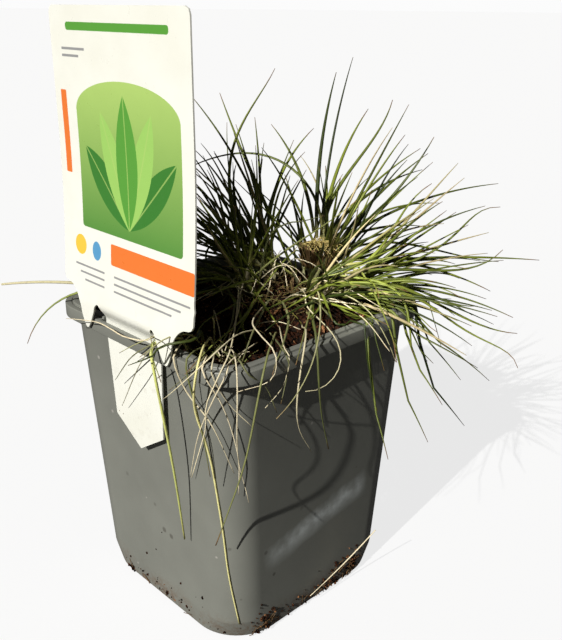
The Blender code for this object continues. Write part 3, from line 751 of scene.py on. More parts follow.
# %% Label bend
CARD_Y = -42.9
BEND_START_Z = 160.0
BEND_LENGTH = 48.0
BEND_DEPTH = 2.4
BEND_REST = 0.1
TONGUE_Y = -42.95
TONGUE_TIP_Y = -42.3
LABEL_THICKNESS = 0.5
CREASE = 0.30
CREASE_X = 4.0
CREASE_Z = 107.5
CREASE_SLOPE = 0.35
CREASE_HALF_WIDTH = 1.6
CREASE_START_X = -12.0
CREASE_RISE = 10.0
CUT_HEIGHTS = np.arange(64, BEND_START_Z, 1.3)
CUT_WIDTHS = (-30, -24, -19, -NOTCH_X, -10, -5, 0, 5, 10, NOTCH_X, 19, 24, 30)


def card_y(z):
    return CARD_Y - BEND_DEPTH * (max(0.0, BEND_START_Z - z) / BEND_LENGTH) ** 2


def crease(x, z):
    """A shallow fold that runs slanting over the card just above the rim."""
    off = abs(z - CREASE_Z - CREASE_SLOPE * (x - CREASE_X))
    return CREASE * eased(1 - off / CREASE_HALF_WIDTH) * eased((x - CREASE_START_X) / CREASE_RISE)


def label_y(x, z):
    """Where the card's middle lies in depth, at this place on its front."""
    if abs(x) > NOTCH_X or z >= NECK_TOP_Z:
        return max(card_y(z), card_y(NECK_TOP_Z) - BEND_REST) + crease(x, z)
    if z >= NECK_FOOT_Z:
        share = eased((NECK_TOP_Z - z) / (NECK_TOP_Z - NECK_FOOT_Z))
        return card_y(NECK_TOP_Z) + (TONGUE_Y - card_y(NECK_TOP_Z)) * share
    return TONGUE_Y + (TONGUE_TIP_Y - TONGUE_Y) * (NECK_FOOT_Z - z) / (NECK_FOOT_Z - TONGUE_TIP_Z)


def bent_card():
    """The card's middle skin, cut across where it bends and moved to its bent shape."""
    bm = bmesh.new()
    bm.faces.new([bm.verts.new((x, 0.0, z)) for x, z in label_outline()])
    cuts = [((0, 0, z), (0, 0, 1)) for z in CUT_HEIGHTS] + [((x, 0, 0), (1, 0, 0)) for x in CUT_WIDTHS]
    for where, facing in cuts:
        bmesh.ops.bisect_plane(bm, geom=bm.verts[:] + bm.edges[:] + bm.faces[:], plane_co=where,
                               plane_no=facing)
    for vert in bm.verts:
        vert.co.y = label_y(vert.co.x, vert.co.z)
    bmesh.ops.recalc_face_normals(bm, faces=bm.faces)
    bmesh.ops.scale(bm, vec=(MM, MM, MM), verts=bm.verts)
    return object_from("plant_label", bm)


label = bent_card()
print("card", len(label.data.polygons), "faces before it has thickness")

# %% [markdown]
# ## The label: print
# The card is cream white and slightly glossy. Its print here is a plain garden design: a green
# panel with an arched top and five broad leaves, a leaf-green stripe, orange strips, and small
# signs for sun and water over short grey rules. Every shape is a box or a disc worked out from the
# distance to its edge, so it stays crisp at any size and needs no picture.

# %% Groups: printed box and printed disc
PRINT_BLUR = 0.06


def printed_shape(name, *more):
    """A group with the inputs that every printed shape needs, and one mask as its output."""
    inputs = [("Spot", VECTOR, None), ("X", FLOAT, 0.0), ("Z", FLOAT, 0.0),
              ("Half width", FLOAT, 5.0), ("Half height", FLOAT, 5.0)]
    return new_group(name, inputs + list(more), [("Mask", FLOAT)])


def from_middle(tree, given):
    """For both of the card's own directions, how far the point lies from the shape's middle."""
    x, _, z = axes(tree, given["Spot"])
    return sums(tree, "SUBTRACT", x, given["X"]), sums(tree, "SUBTRACT", z, given["Z"])


def build_printed_box():
    """1 inside a box with round corners, 0 outside, with a hair's breadth of soft edge."""
    tree, given, out = printed_shape("printed_box", ("Round", FLOAT, 0.5))
    over = []
    for off, half in zip(from_middle(tree, given), ("Half width", "Half height")):
        past = sums(tree, "SUBTRACT", sums(tree, "ABSOLUTE", off), given[half])
        over.append(sums(tree, "ADD", past, given["Round"]))
    outside = [sums(tree, "POWER", sums(tree, "MAXIMUM", side, 0.0), 2.0) for side in over]
    reach = sums(tree, "SQRT", sums(tree, "ADD", *outside))
    inside = sums(tree, "MINIMUM", sums(tree, "MAXIMUM", *over), 0.0)
    edge = sums(tree, "SUBTRACT", sums(tree, "ADD", reach, inside), given["Round"])
    tree.links.new(ramp(tree, edge, PRINT_BLUR, -PRINT_BLUR), out.inputs["Mask"])
    return tree


def build_printed_disc():
    """1 inside an upright oval, 0 outside."""
    tree, given, out = printed_shape("printed_disc")
    over = []
    for off, half in zip(from_middle(tree, given), ("Half width", "Half height")):
        over.append(sums(tree, "POWER", sums(tree, "DIVIDE", off, given[half]), 2.0))
    reach = sums(tree, "SQRT", sums(tree, "ADD", *over))
    edge = product(tree, sums(tree, "SUBTRACT", reach, 1.0), given["Half width"])
    tree.links.new(ramp(tree, edge, PRINT_BLUR, -PRINT_BLUR), out.inputs["Mask"])
    return tree


BOX = build_printed_box()
DISC = build_printed_disc()
print("groups", BOX.name, "and", DISC.name)

# %% [markdown]
# A printed leaf is the overlap of two large discs, a lens. Turning the point before it is measured
# turns the leaf, which lets one rule draw leaves that fan out from a common foot.

# %% Printed leaves and the whole design
PRINT_GREEN = (0.10, 0.33, 0.045, 1)
PANEL_TOP = (0.42, 0.60, 0.16, 1)
PANEL_FOOT = (0.10, 0.27, 0.05, 1)
LEAF_PALE = (0.33, 0.58, 0.13, 1)
LEAF_DEEP = (0.045, 0.20, 0.03, 1)
PANEL_X = 3.0
PANEL_HALF = 24.5
PANEL_FOOT_Z = 131.0
PANEL_ARCH_Z = 165.0
PANEL_ARCH_HEIGHT = 9.0
PANEL_OVERLAP = 0.3
PANEL_ROUND = 1.2
LEAF_FOOT = (3.0, 0.0, 133.5)
RIB_HALF_WIDTH = 0.22
RIB_ROUND = 0.1
RIB_INK = 0.6
PrintedLeaf = namedtuple("PrintedLeaf", "turn length width colour")
PRINTED_LEAVES = [
    PrintedLeaf(-46, 31, 9.0, LEAF_DEEP), PrintedLeaf(44, 30, 9.5, LEAF_DEEP),
    PrintedLeaf(-20, 35, 9.5, LEAF_PALE), PrintedLeaf(21, 34, 9.0, LEAF_PALE),
    PrintedLeaf(1, 37, 10.0, PRINT_GREEN),
]


def lens(tree, spot, leaf):
    """The mask of one leaf that points away from its foot, and of its midrib."""
    moved = vectors(tree, "SUBTRACT", spot, LEAF_FOOT)[0]
    inputs = {"Vector": moved, "Rotation": (0, math.radians(leaf.turn), 0)}
    turned = place(tree, "ShaderNodeVectorRotate", inputs, rotation_type="EULER_XYZ").outputs[0]
    radius = (leaf.length ** 2 / 4 + leaf.width ** 2 / 4) / leaf.width
    halves = []
    for side in (-1, 1):
        centre = side * (radius - leaf.width / 2)
        halves.append(use_group(tree, DISC, Spot=turned, X=centre, Z=leaf.length / 2, Half_width=radius,
                                Half_height=radius).outputs[0])
    whole = product(tree, *halves)
    rib = use_group(tree, BOX, Spot=turned, X=0.0, Z=leaf.length / 2, Half_width=RIB_HALF_WIDTH,
                    Half_height=leaf.length / 2, Round=RIB_ROUND).outputs[0]
    return whole, product(tree, whole, rib)


def panel_mask(tree, spot):
    middle = (PANEL_FOOT_Z + PANEL_ARCH_Z) / 2
    half = (PANEL_ARCH_Z - PANEL_FOOT_Z) / 2 + PANEL_OVERLAP
    body = use_group(tree, BOX, Spot=spot, X=PANEL_X, Z=middle, Half_width=PANEL_HALF,
                     Half_height=half, Round=PANEL_ROUND).outputs[0]
    arch = use_group(tree, DISC, Spot=spot, X=PANEL_X, Z=PANEL_ARCH_Z, Half_width=PANEL_HALF,
                     Half_height=PANEL_ARCH_HEIGHT).outputs[0]
    return sums(tree, "MAXIMUM", body, arch)


def with_panel(tree, spot, colour):
    """Lays the arched panel and its leaves over the card's colour."""
    z = axes(tree, spot)[2]
    height = ramp(tree, z, PANEL_FOOT_Z, PANEL_ARCH_Z + PANEL_ARCH_HEIGHT)
    panel = panel_mask(tree, spot)
    colour = mixed(tree, panel, colour, mixed(tree, height, PANEL_FOOT, PANEL_TOP))
    for leaf in PRINTED_LEAVES:
        whole, rib = lens(tree, spot, leaf)
        colour = mixed(tree, product(tree, whole, panel), colour, leaf.colour)
        colour = mixed(tree, product(tree, rib, RIB_INK), colour, PANEL_TOP)
    return colour


print(len(PRINTED_LEAVES), "printed leaves on a panel", 2 * PANEL_HALF, "mm wide")

# %% [markdown]
# The other printed shapes are plain boxes and discs, so a short list of their places and sizes in
# millimetres is all they need. The rules get shorter from row to row, which a loop works out.

# %% Printed strips, signs and rules
PRINT_ORANGE = (0.80, 0.19, 0.035, 1)
PRINT_GREY = (0.30, 0.30, 0.30, 1)
SUN_YELLOW = (0.85, 0.55, 0.06, 1)
WATER_BLUE = (0.10, 0.32, 0.55, 1)
RULE_TOP_Z = 118.3
RULE_STEP = 2.2
RULE_ROWS = 3
RULE_HALF = 0.32
RULE_ROUND = 0.2
RuleStack = namedtuple("RuleStack", "x slide half_width shrink")
RULE_STACKS = [RuleStack(-18.0, 1.3, 8.0, 1.3), RuleStack(13.0, -2.0, 18.0, 2.0)]
PrintedShape = namedtuple("PrintedShape", "x z half_width half_height ink rounding")
STRIPS = [
    PrintedShape(0.0, 187.5, 24.0, 1.1, PRINT_GREEN, 0.9),
    PrintedShape(-27.9, 158.0, 1.5, 12.0, PRINT_ORANGE, 0.4),
    PrintedShape(13.0, 124.8, 19.6, 3.2, PRINT_ORANGE, 0.6),
]
SIGNS = [
    PrintedShape(-23.0, 124.6, 3.1, 3.1, SUN_YELLOW, None),
    PrintedShape(-14.2, 124.2, 2.3, 2.9, WATER_BLUE, None),
]
TOP_RULES = [
    PrintedShape(-21.0, 181.5, 6.0, 0.35, PRINT_GREY, RULE_ROUND),
    PrintedShape(-22.6, 179.6, 4.4, 0.35, PRINT_GREY, RULE_ROUND),
]


def foot_rules():
    """Two stacks of rules side by side. From row to row each slides a little and gets shorter."""
    made = []
    for row in range(RULE_ROWS):
        for stack in RULE_STACKS:
            x, half_width = stack.x + row * stack.slide, stack.half_width - row * stack.shrink
            z = RULE_TOP_Z - RULE_STEP * row
            made.append(PrintedShape(x, z, half_width, RULE_HALF, PRINT_GREY, RULE_ROUND))
    return made


def printed(tree, spot, colour):
    """Lays each printed shape over the card's colour, the lowest layer first."""
    colour = with_panel(tree, spot, colour)
    for shape in STRIPS + SIGNS + foot_rules() + TOP_RULES:
        sizes = {"X": shape.x, "Z": shape.z, "Half_width": shape.half_width,
                 "Half_height": shape.half_height}
        if shape.rounding is None:
            mask = use_group(tree, DISC, Spot=spot, **sizes)
        else:
            mask = use_group(tree, BOX, Spot=spot, Round=shape.rounding, **sizes)
        colour = mixed(tree, mask.outputs[0], colour, shape.ink)
    return colour


print(len(STRIPS + SIGNS + foot_rules() + TOP_RULES), "printed boxes and discs")

# %% The card's two finishes
CARD_WHITE = (0.86, 0.86, 0.78, 1)
CARD_CREAM = (0.82, 0.815, 0.72, 1)
CARD_SPECK = (0.16, 0.11, 0.07, 1)
CARD_SMEAR = (0.50, 0.44, 0.35, 1)
CARD_GLOSS = 0.33
SOILED_Z = (110.0, 92.0)


def card_finish(name, with_print):
    """Cream white card, printed or plain, that is soiled where it dips into the pot."""
    made, tree, shader = new_finish(name, CARD_GLOSS)
    spot = millimetres(tree)
    colour = mixed(tree, ramp(tree, mottle(tree, spot, 0.06), 0.3, 0.7), CARD_WHITE, CARD_CREAM)
    if with_print:
        colour = printed(tree, spot, colour)
    low = ramp(tree, axes(tree, spot)[2], *SOILED_Z, 0.08, 1.0)
    dirt = use_group(tree, SPECKS, Spot=spot, Per_mm=0.45, Share=0.10, Size=0.12).outputs[0]
    smear = ramp(tree, mottle(tree, spot, 0.25, 5.0, 0.7), 0.58, 0.76, 0.0, 0.35)
    colour = mixed(tree, product(tree, dirt, low), colour, CARD_SPECK)
    colour = mixed(tree, product(tree, smear, low), colour, CARD_SMEAR)
    tree.links.new(colour, shader.inputs["Base Color"])
    dull = ramp(tree, mottle(tree, spot, 0.4, 3.0), 0.3, 0.8, 0.27, 0.45)
    tree.links.new(dull, shader.inputs["Roughness"])
    bumped(tree, shader, mottle(tree, spot, 0.09, 2.0), 0.5, 0.35)
    return made


printed_card = card_finish("printed_card", True)
plain_card = card_finish("plain_card", False)
print("finish", printed_card.name, "with", len(printed_card.node_tree.nodes), "nodes")

# %% Give the card its thickness and its two faces
FACES_OUT = -0.7
LABEL_SHARP_ANGLE = math.radians(40)


def thicken(made):
    modifier = made.modifiers.new("thickness", "SOLIDIFY")
    modifier.thickness = LABEL_THICKNESS * MM
    modifier.offset = 0.0
    settled(made)


def paint_front(made):
    """The faces that look out from the pot take the printed finish, the others the plain one."""
    made.data.materials.clear()
    made.data.materials.append(plain_card)
    made.data.materials.append(printed_card)
    for face in made.data.polygons:
        face.material_index = 1 if face.normal.y < FACES_OUT else 0


thicken(label)
paint_front(label)
label.data.shade_smooth()
label.data.set_sharp_from_angle(angle=LABEL_SHARP_ANGLE)
placed(label, "white_card", "label")

# %% [markdown]
# ## The soil: skin
# Potting soil is dark brown peat with a crumbly top. It lies level at the pot's wall and rises to
# the foot of the tuft, where old leaf bases lift it. The skin is a fine grid pressed into the shape
# of the pot's inside, lifted by the mound and roughened by noise of several sizes.

# %% Soil height
SOIL_EDGE_Z = 95.6
MOUND_TOP_Z = 101.0
MOUND_FALL = 24.0
MOUND_START = 20.5
SOIL_LUMP = 1.3
SOIL_LUMP_RISE = 4
SOIL_LUMPS_PER_MM = 0.16
SOIL_SLICE = 3.7
CROWN = np.array((4.0, 21.0, 101.3))
NEAR_SPOT = (34, -34)

# Fine lumps: how many to a millimetre, and how high they stand.
FINE_LUMPS = [(0.45, 0.55), (1.1, 0.30)]
FINE_SLICE = 9.1


def wall_half(z):
    return BASE_HALF + (WALL_TOP_HALF - BASE_HALF) * z / LEDGE_UNDERSIDE_Z


def wall_corner(z):
    if z < FOOT_BEVEL_Z:
        return FOOT_CORNER + (BASE_CORNER - FOOT_CORNER) * z / FOOT_BEVEL_Z
    share = (z - FOOT_BEVEL_Z) / (LEDGE_UNDERSIDE_Z - FOOT_BEVEL_Z)
    return BASE_CORNER + (WALL_TOP_CORNER - BASE_CORNER) * share


def soil_height(x, y):
    """The mound round the crown, with large lumps where it falls off and fine lumps all over."""
    share = eased((math.hypot(x - CROWN[0], y - CROWN[1]) - MOUND_START) / MOUND_FALL)
    lump = noise.noise(Vector((x * SOIL_LUMPS_PER_MM, y * SOIL_LUMPS_PER_MM, SOIL_SLICE)))
    lump *= SOIL_LUMP * min(1.0, share * SOIL_LUMP_RISE)
    height = MOUND_TOP_Z + (SOIL_EDGE_Z - MOUND_TOP_Z) * share + lump
    for per_mm, size in FINE_LUMPS:
        height += size * noise.noise(Vector((x * per_mm, y * per_mm, FINE_SLICE)))
    return height


print("soil height at the crown", round(soil_height(*CROWN[:2]), 2),
      "and at the near corner", round(soil_height(*NEAR_SPOT), 2))

# %% Soil skin
SOIL_CELLS = 120
SOIL_GAP = 0.3
SOIL_BOTTOM_Z = 4.6
SOIL_SIDE_LEVELS = (80.0, 40.0, SOIL_BOTTOM_Z)


def square_reach(x, y, half, corner):
    """How far the rounded square reaches in the direction of (x, y), as a share of the plain square."""
    largest = max(abs(x), abs(y))
    if largest == 0:
        return 1.0
    a, b = half * abs(x) / largest, half * abs(y) / largest
    inner = half - corner
    if min(a, b) <= inner * max(a, b) / half:
        return 1.0
    unit = math.hypot(a, b)
    ux, uy = a / unit, b / unit
    along = ux * inner + uy * inner
    return (along + math.sqrt(along ** 2 - 2 * inner ** 2 + corner ** 2)) / unit


def soil_point(u, v, z, inset=0.0):
    """Where a place on the square from -1 to 1 comes to lie inside the pot, at this height."""
    half = wall_half(z) - WALL - SOIL_GAP - inset
    corner = wall_corner(z) - WALL - SOIL_GAP - inset
    reach = square_reach(u, v, half, corner)
    return u * half * reach, v * half * reach


def soil_mesh():
    """A lumpy top of small cells, with sides and a bottom below its rim."""
    steps = np.linspace(-1, 1, SOIL_CELLS + 1)
    points = []
    for v in steps:
        for u in steps:
            x, y = soil_point(u, v, SOIL_EDGE_Z)
            points.append((x, y, soil_height(x, y)))
    row = SOIL_CELLS + 1
    faces = [(j * row + i, j * row + i + 1, (j + 1) * row + i + 1, (j + 1) * row + i)
             for j in range(SOIL_CELLS) for i in range(SOIL_CELLS)]
    rim = list(range(SOIL_CELLS))
    rim += [j * row + SOIL_CELLS for j in range(SOIL_CELLS)]
    rim += [SOIL_CELLS * row + i for i in range(SOIL_CELLS, 0, -1)]
    rim += [j * row for j in range(SOIL_CELLS, 0, -1)]
    above, count = rim, len(rim)
    for z in SOIL_SIDE_LEVELS:
        below = list(range(len(points), len(points) + count))
        points += [(*soil_point(steps[index % row], steps[index // row], z), z) for index in rim]
        faces += [(above[i], below[i], below[(i + 1) % count], above[(i + 1) % count])
                  for i in range(count)]
        above = below
    faces.append(tuple(reversed(above)))
    return points, faces


soil_points, soil_faces = soil_mesh()
print("soil skin", len(soil_points), "points")

# %% [markdown]
# ## The soil: finish
# Wet peat is nearly black, dry peat reddish brown, and both lie side by side within a millimetre. A
# mottled mix of three browns with a strong fine bump gives that. Crumbs come as real small meshes,
# because their edges and shadows are what makes soil look loose.

# %% Peat
PEAT_DARK = (0.008, 0.006, 0.004, 1)
PEAT_BROWN = (0.085, 0.022, 0.007, 1)
PEAT_PALE = (0.34, 0.16, 0.07, 1)
PEAT_ROUGHNESS = 0.95
PEAT_SHINE = 0.1


def peat(name):
    """Dark peat with brown grains and pale bits. The tone that crumbs keep makes a few of them redder."""
    made, tree, shader = new_finish(name, PEAT_ROUGHNESS, PEAT_SHINE)
    spot = millimetres(tree)
    few = sums(tree, "POWER", kept_number(tree, "tone"), 4.0)
    grain = ramp(tree, mottle(tree, spot, 0.8, 6.0, 0.7), 0.46, 0.68)
    brown = sums(tree, "ADD", grain, product(tree, few, 0.9))
    colour = mixed(tree, sums(tree, "MULTIPLY", brown, 0.8, clamp=True), PEAT_DARK, PEAT_BROWN)
    pale = sums(tree, "ADD", mottle(tree, spot, 1.9, 4.0, 0.8), product(tree, few, 0.25))
    colour = mixed(tree, ramp(tree, pale, 0.63, 0.70), colour, PEAT_PALE)
    tree.links.new(colour, shader.inputs["Base Color"])
    bumped(tree, shader, mottle(tree, spot, 1.6, 6.0, 0.75), 0.9, 0.9)
    return made


peat_finish = peat("crumbly_peat")
soil = mesh_object("peat_skin", soil_points, soil_faces, peat_finish)
placed(soil, "peat", "soil")

# %% [markdown]
# ## Crumbs
# A crumb is a small ball pulled out of shape. About two thousand of them are joined in one mesh: each
# is a copy of one coarse ball, dented, stretched and turned by its own random numbers, and set half
# into the soil. A number kept on each crumb lets the finish make a few of them brighter and redder.

# %% Crumb builder
CRUMB_SEED = 21
CRUMB_COUNT = 2200
CRUMB_LEAST = 0.35
CRUMB_RANGE = 1.1
CRUMB_DENT = 0.28
CRUMB_STRETCH = (0.55, 1.35)
CRUMB_INSET = 0.8
FULL_TURN = 6.283


def coarse_ball():
    bm = bmesh.new()
    bmesh.ops.create_icosphere(bm, subdivisions=1, radius=1.0)
    points = np.array([vert.co[:] for vert in bm.verts])
    faces = np.array([[vert.index for vert in face.verts] for face in bm.faces])
    bm.free()
    return points, faces


def crumb(chance, centre, radius, ball):
    """One crumb: the ball, dented, stretched and turned."""
    dented = ball * (1 + chance.uniform(-CRUMB_DENT, CRUMB_DENT, (len(ball), 1)))
    stretch = chance.uniform(*CRUMB_STRETCH, 3)
    angle, axis = chance.uniform(0, FULL_TURN), Vector(chance.normal(size=3)).normalized()
    turn = np.array(Matrix.Rotation(angle, 3, axis))
    return centre + (dented * stretch * radius) @ turn.T


def set_numbers(piece, name, values):
    layer = piece.data.attributes.new(name, "FLOAT", "POINT")
    layer.data.foreach_set("value", np.asarray(values, np.float32))


def crumbs(name, places, radii, chance, finish):
    """One mesh of crumbs, each with a random tone of its own."""
    ball, ball_faces = coarse_ball()
    points, faces, tones = [], [], []
    for number, (centre, radius) in enumerate(zip(places, radii)):
        points.append(crumb(chance, np.array(centre), radius, ball))
        faces.append(ball_faces + number * len(ball))
        tones.append(np.full(len(ball), chance.uniform()))
    made = mesh_object(name, np.concatenate(points), np.concatenate(faces).tolist(), finish, smooth=False)
    set_numbers(made, "tone", np.concatenate(tones))
    return made


def soil_places(chance, count):
    places = []
    for _ in range(count):
        u, v = chance.uniform(-1, 1, 2)
        x, y = soil_point(u, v, SOIL_EDGE_Z, CRUMB_INSET)
        places.append((x, y, soil_height(x, y)))
    return places


crumb_chance = np.random.default_rng(CRUMB_SEED)
crumb_radii = CRUMB_LEAST + CRUMB_RANGE * crumb_chance.uniform(size=CRUMB_COUNT) ** 3
crumb_places = soil_places(crumb_chance, CRUMB_COUNT)
loose_crumbs = crumbs("peat_crumbs", crumb_places, crumb_radii, crumb_chance, peat_finish)
placed(loose_crumbs, "peat")

# %% [markdown]
# ## Needle leaves: shape
# The leaf of this grass is rolled into a needle about a millimetre thick. It leaves its sheath
# round and firm, keeps its thickness for most of its length and then runs out to a fine tip. The
# builder below skins any curve with a tapering tube and keeps three numbers on each point: how far
# along the leaf it is, and the leaf's own tone and dryness. The colour group above reads all three.

# %% Needle builder
NEEDLE_SIDES = 6
NEEDLE_FLATNESS = 0.7
NEEDLE_FOOT = 0.75
NEEDLE_SWELL = 0.25
NEEDLE_TAPER = 2.3
STEEP = 0.8
SIDEWAYS = np.array((0.31, -0.23, 0.92))
SIDEWAYS_WHEN_STEEP = np.array((0.9, 0.3, 0.1))


def needle_rings(path, thick, thin, sides):
    """Points round a slightly flattened, tapering tube along a path, ring by ring."""
    way = np.gradient(path, axis=0)
    way /= np.linalg.norm(way, axis=1, keepdims=True)
    side = np.cross(way, SIDEWAYS if abs(way[:, 2]).mean() < STEEP else SIDEWAYS_WHEN_STEEP)
    side /= np.linalg.norm(side, axis=1, keepdims=True)
    other = np.cross(way, side) * NEEDLE_FLATNESS
    share = np.linspace(0, 1, len(path))
    swell = NEEDLE_FOOT + (1 - NEEDLE_FOOT) * np.minimum(1.0, share / NEEDLE_SWELL)
    radius = thin + (thick - thin) * (1 - share ** NEEDLE_TAPER) * swell
    angle = np.arange(sides) * 2 * np.pi / sides
    ring = np.cos(angle)[None, :, None] * side[:, None] + np.sin(angle)[None, :, None] * other[:, None]
    return path[:, None] + ring * radius[:, None, None]


def tube_faces(count, sides, start):
    """Faces between the rings of a tube, and a cap at each end."""
    rows = np.arange(count - 1)[:, None] * sides
    here = np.arange(sides)[None, :]
    there = (here + 1) % sides
    quads = np.stack([rows + here, rows + there, rows + there + sides, rows + here + sides], axis=-1)
    quads = (quads.reshape(-1, 4) + start).tolist()
    last = start + (count - 1) * sides
    caps = [[start + i for i in reversed(range(sides))], [last + i for i in range(sides)]]
    return quads + caps


# Thick and thin are half the needle's width in millimetres, at its widest and at its tip.
Needle = namedtuple("Needle", "path thick thin tone dryness")


def needles_object(name, needles, finish, sides=NEEDLE_SIDES):
    """All the needles of a list in one mesh."""
    points, faces, numbers, start = [], [], [], 0
    for one in needles:
        points.append(needle_rings(one.path, one.thick, one.thin, sides).reshape(-1, 3))
        faces += tube_faces(len(one.path), sides, start)
        along = np.repeat(np.linspace(0, 1, len(one.path)), sides)
        numbers.append([along, np.full(len(along), one.tone), np.full(len(along), one.dryness)])
        start += len(along)
    made = mesh_object(name, np.concatenate(points), faces, finish)
    for title, row in zip(NEEDLE_NUMBERS, np.concatenate(numbers, axis=1)):
        set_numbers(made, title, row)
    return made


print("a needle has", NEEDLE_SIDES, "sides")

# %% [markdown]
# ## Needle leaves: finish
# Young leaves are a fresh yellow green, older ones a deep olive, and dead ones straw or red brown.
# They have a thin waxy skin, so light glances off them along their length, and the drier a leaf is,
# the duller it gets. Two thick straws are yellower than the others and get a finish of their own.

# %% Leaf finishes
GREEN_DARK = (0.020, 0.033, 0.005, 1)
GREEN_LIGHT = (0.215, 0.255, 0.034, 1)
YELLOW_GREEN = (0.40, 0.50, 0.08, 1)
STRAW = (0.50, 0.41, 0.22, 1)
PALE_STRAW = (0.86, 0.75, 0.52, 1)
YELLOW_STRAW = (0.92, 0.84, 0.38, 1)
FOOT_PALE = (0.34, 0.32, 0.11, 1)
TIP_BROWN = (0.20, 0.11, 0.045, 1)
LEAF_SHINE = 0.35
DRY_ROUGHNESS = 0.7


def leaf_finish(name, straw, roughness, light=GREEN_LIGHT):
    """Leaf colours with this straw and this green, from the given roughness when fresh to a dull one."""
    made, tree, shader = new_finish(name, roughness, LEAF_SHINE)
    colours = use_group(tree, LEAF_COLOURS, Dark=GREEN_DARK, Light=light, Straw=straw, Foot=FOOT_PALE,
                        Tip=TIP_BROWN, Spot=millimetres(tree))
    tree.links.new(colours.outputs["Color"], shader.inputs["Base Color"])
    rough = ramp(tree, colours.outputs["Gloss"], 0.4, 1.0, DRY_ROUGHNESS, roughness)
    tree.links.new(rough, shader.inputs["Roughness"])
    return made


needle_finish = leaf_finish("needle_green", STRAW, roughness=0.46)
straw_finish = leaf_finish("dry_straw", PALE_STRAW, roughness=0.6)
yellow_finish = leaf_finish("yellow_straw", YELLOW_STRAW, roughness=0.55, light=YELLOW_GREEN)
print("finishes", needle_finish.name, straw_finish.name, yellow_finish.name)

# %% [markdown]
# ## The single leaves
# Each single leaf is a solid of the frame with a thin coarse tube as its shape. Its middle line is
# read back from that tube: the corners of each ring lie close together, so points within a short
# distance of one another are one ring. The tube's faces say which rings are neighbours, and so the
# rings are strung together, from the end that is nearer to the crown. The plainest smooth curve that
# stays close to the rings then carries the fine needle.

# %% Read a leaf's middle line
RING_SPREAD = 1.5
NEEDLE_STEP = 3.0
LEAST_RINGS = 10
PLAIN_DEGREES = (2, 3, 4, 5)
PLAIN_MISS = 1.3


def leaf_rings(node):
    """The middle of each ring of a leaf's solid, and the rings that its faces join it to."""
    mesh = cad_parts[node].data
    points = np.array([vert.co[:] for vert in mesh.vertices]) / MM
    ring_of = np.full(len(points), -1)
    centres = []
    while (ring_of < 0).any():
        first = points[np.argmax(ring_of < 0)]
        near = (ring_of < 0) & (np.linalg.norm(points - first, axis=1) < RING_SPREAD)
        ring_of[near] = len(centres)
        centres.append(points[near].mean(axis=0))
    joined = [set() for _ in centres]
    for face in mesh.polygons:
        rings = set(ring_of[list(face.vertices)].tolist())
        for ring in rings:
            joined[ring] |= rings - {ring}
    return np.array(centres), joined


def strung(node):
    """The centres in order along the leaf, from the end that is nearer to the crown."""
    centres, joined = leaf_rings(node)
    ends = [ring for ring, others in enumerate(joined) if len(others) == 1]
    order = [min(ends, key=lambda ring: np.linalg.norm(centres[ring] - CROWN))]
    while onward := joined[order[-1]] - set(order):
        order.append(onward.pop())
    return centres[order]


def leaf_line(node):
    """The plainest smooth curve that stays close to the rings: a leaf is springy and has no kinks."""
    line = strung(node)
    steps = np.linalg.norm(np.diff(line, axis=0), axis=1)
    length = steps.sum()
    count = max(LEAST_RINGS, round(length / NEEDLE_STEP))
    run = np.concatenate([[0], np.cumsum(steps)]) / length
    for degree in PLAIN_DEGREES:
        if len(line) <= degree + 1:
            break
        fitted = [np.polyfit(run, line[:, axis], degree) for axis in range(3)]
        misses = np.stack([np.polyval(fit, run) for fit in fitted], axis=1) - line
        if np.linalg.norm(misses, axis=1).max() < PLAIN_MISS:
            share = np.linspace(0, 1, count)
            return np.stack([np.polyval(fit, share) for fit in fitted], axis=1)
    return smooth_path(line, count)


print("one leaf's line", leaf_line("green_leaf_01").round(1).tolist()[:3])

# %% [markdown]
# Most leaves take their thickness, tone and dryness by chance. Some straws stand out in the picture,
# so what matters about them is chosen instead. One long straw hangs down close beside the wall: its
# line is drawn in until it lies against the plastic, as a limp straw does.

# %% Chosen looks and the straw that hugs the wall
LEAF_SEED = 31
GREEN_THICK = (0.58, 0.78)
STRAW_THICK = (0.21, 0.31)
STRAW_DRYNESS = (0.8, 1.0)
FINE_TIP = 0.12
STOUT_TIP = 0.6
Look = namedtuple("Look", "dryness thick tone", defaults=(None, None))
CHOSEN_STRAWS = {
    "dry_leaf_01": Look(0.4, 0.56, 1.0), "dry_leaf_03": Look(0.9, 0.47, 1.0),
    "dry_leaf_05": Look(0.12, 0.32, 0.5), "dry_leaf_09": Look(0.7), "dry_leaf_10": Look(0.3),
    "dry_leaf_11": Look(0.05, 0.36, 0.25), "dry_leaf_12": Look(0.6), "dry_leaf_13": Look(0.35),
    "dry_leaf_14": Look(0.6, 0.75, 0.8),
}
YELLOW_STRAWS = ("dry_leaf_01", "dry_leaf_03")
HUGGING_STRAW = "dry_leaf_03"
HUG_BELOW_Z = 84.0
HUG_EASE = 20.0
HUG_FOOT_Z = 2.0
HUG_OFF = 0.4
leaf_chance = np.random.default_rng(LEAF_SEED)


def hugged(path):
    """Draws a leaf that hangs close beside the wall in to it, and ends it just above the floor."""
    close = path.copy()
    for point in close:
        corner = wall_corner(point[2])
        middle = wall_half(point[2]) - corner
        away = np.array((max(0.0, point[0] - middle), min(0.0, point[1] + middle)))
        reach = np.linalg.norm(away)
        if point[2] < HUG_BELOW_Z:
            share = eased((HUG_BELOW_Z - point[2]) / HUG_EASE)
            point[:2] += away / reach * (HUG_OFF - (reach - corner)) * share
    return close[close[:, 2] > HUG_FOOT_Z]


print(len(CHOSEN_STRAWS), "straws have a chosen look")

# %% Dress the single leaves
def chosen(wished, drawn):
    """The wished number, or the drawn one where there is no wish."""
    return drawn if wished is None else wished


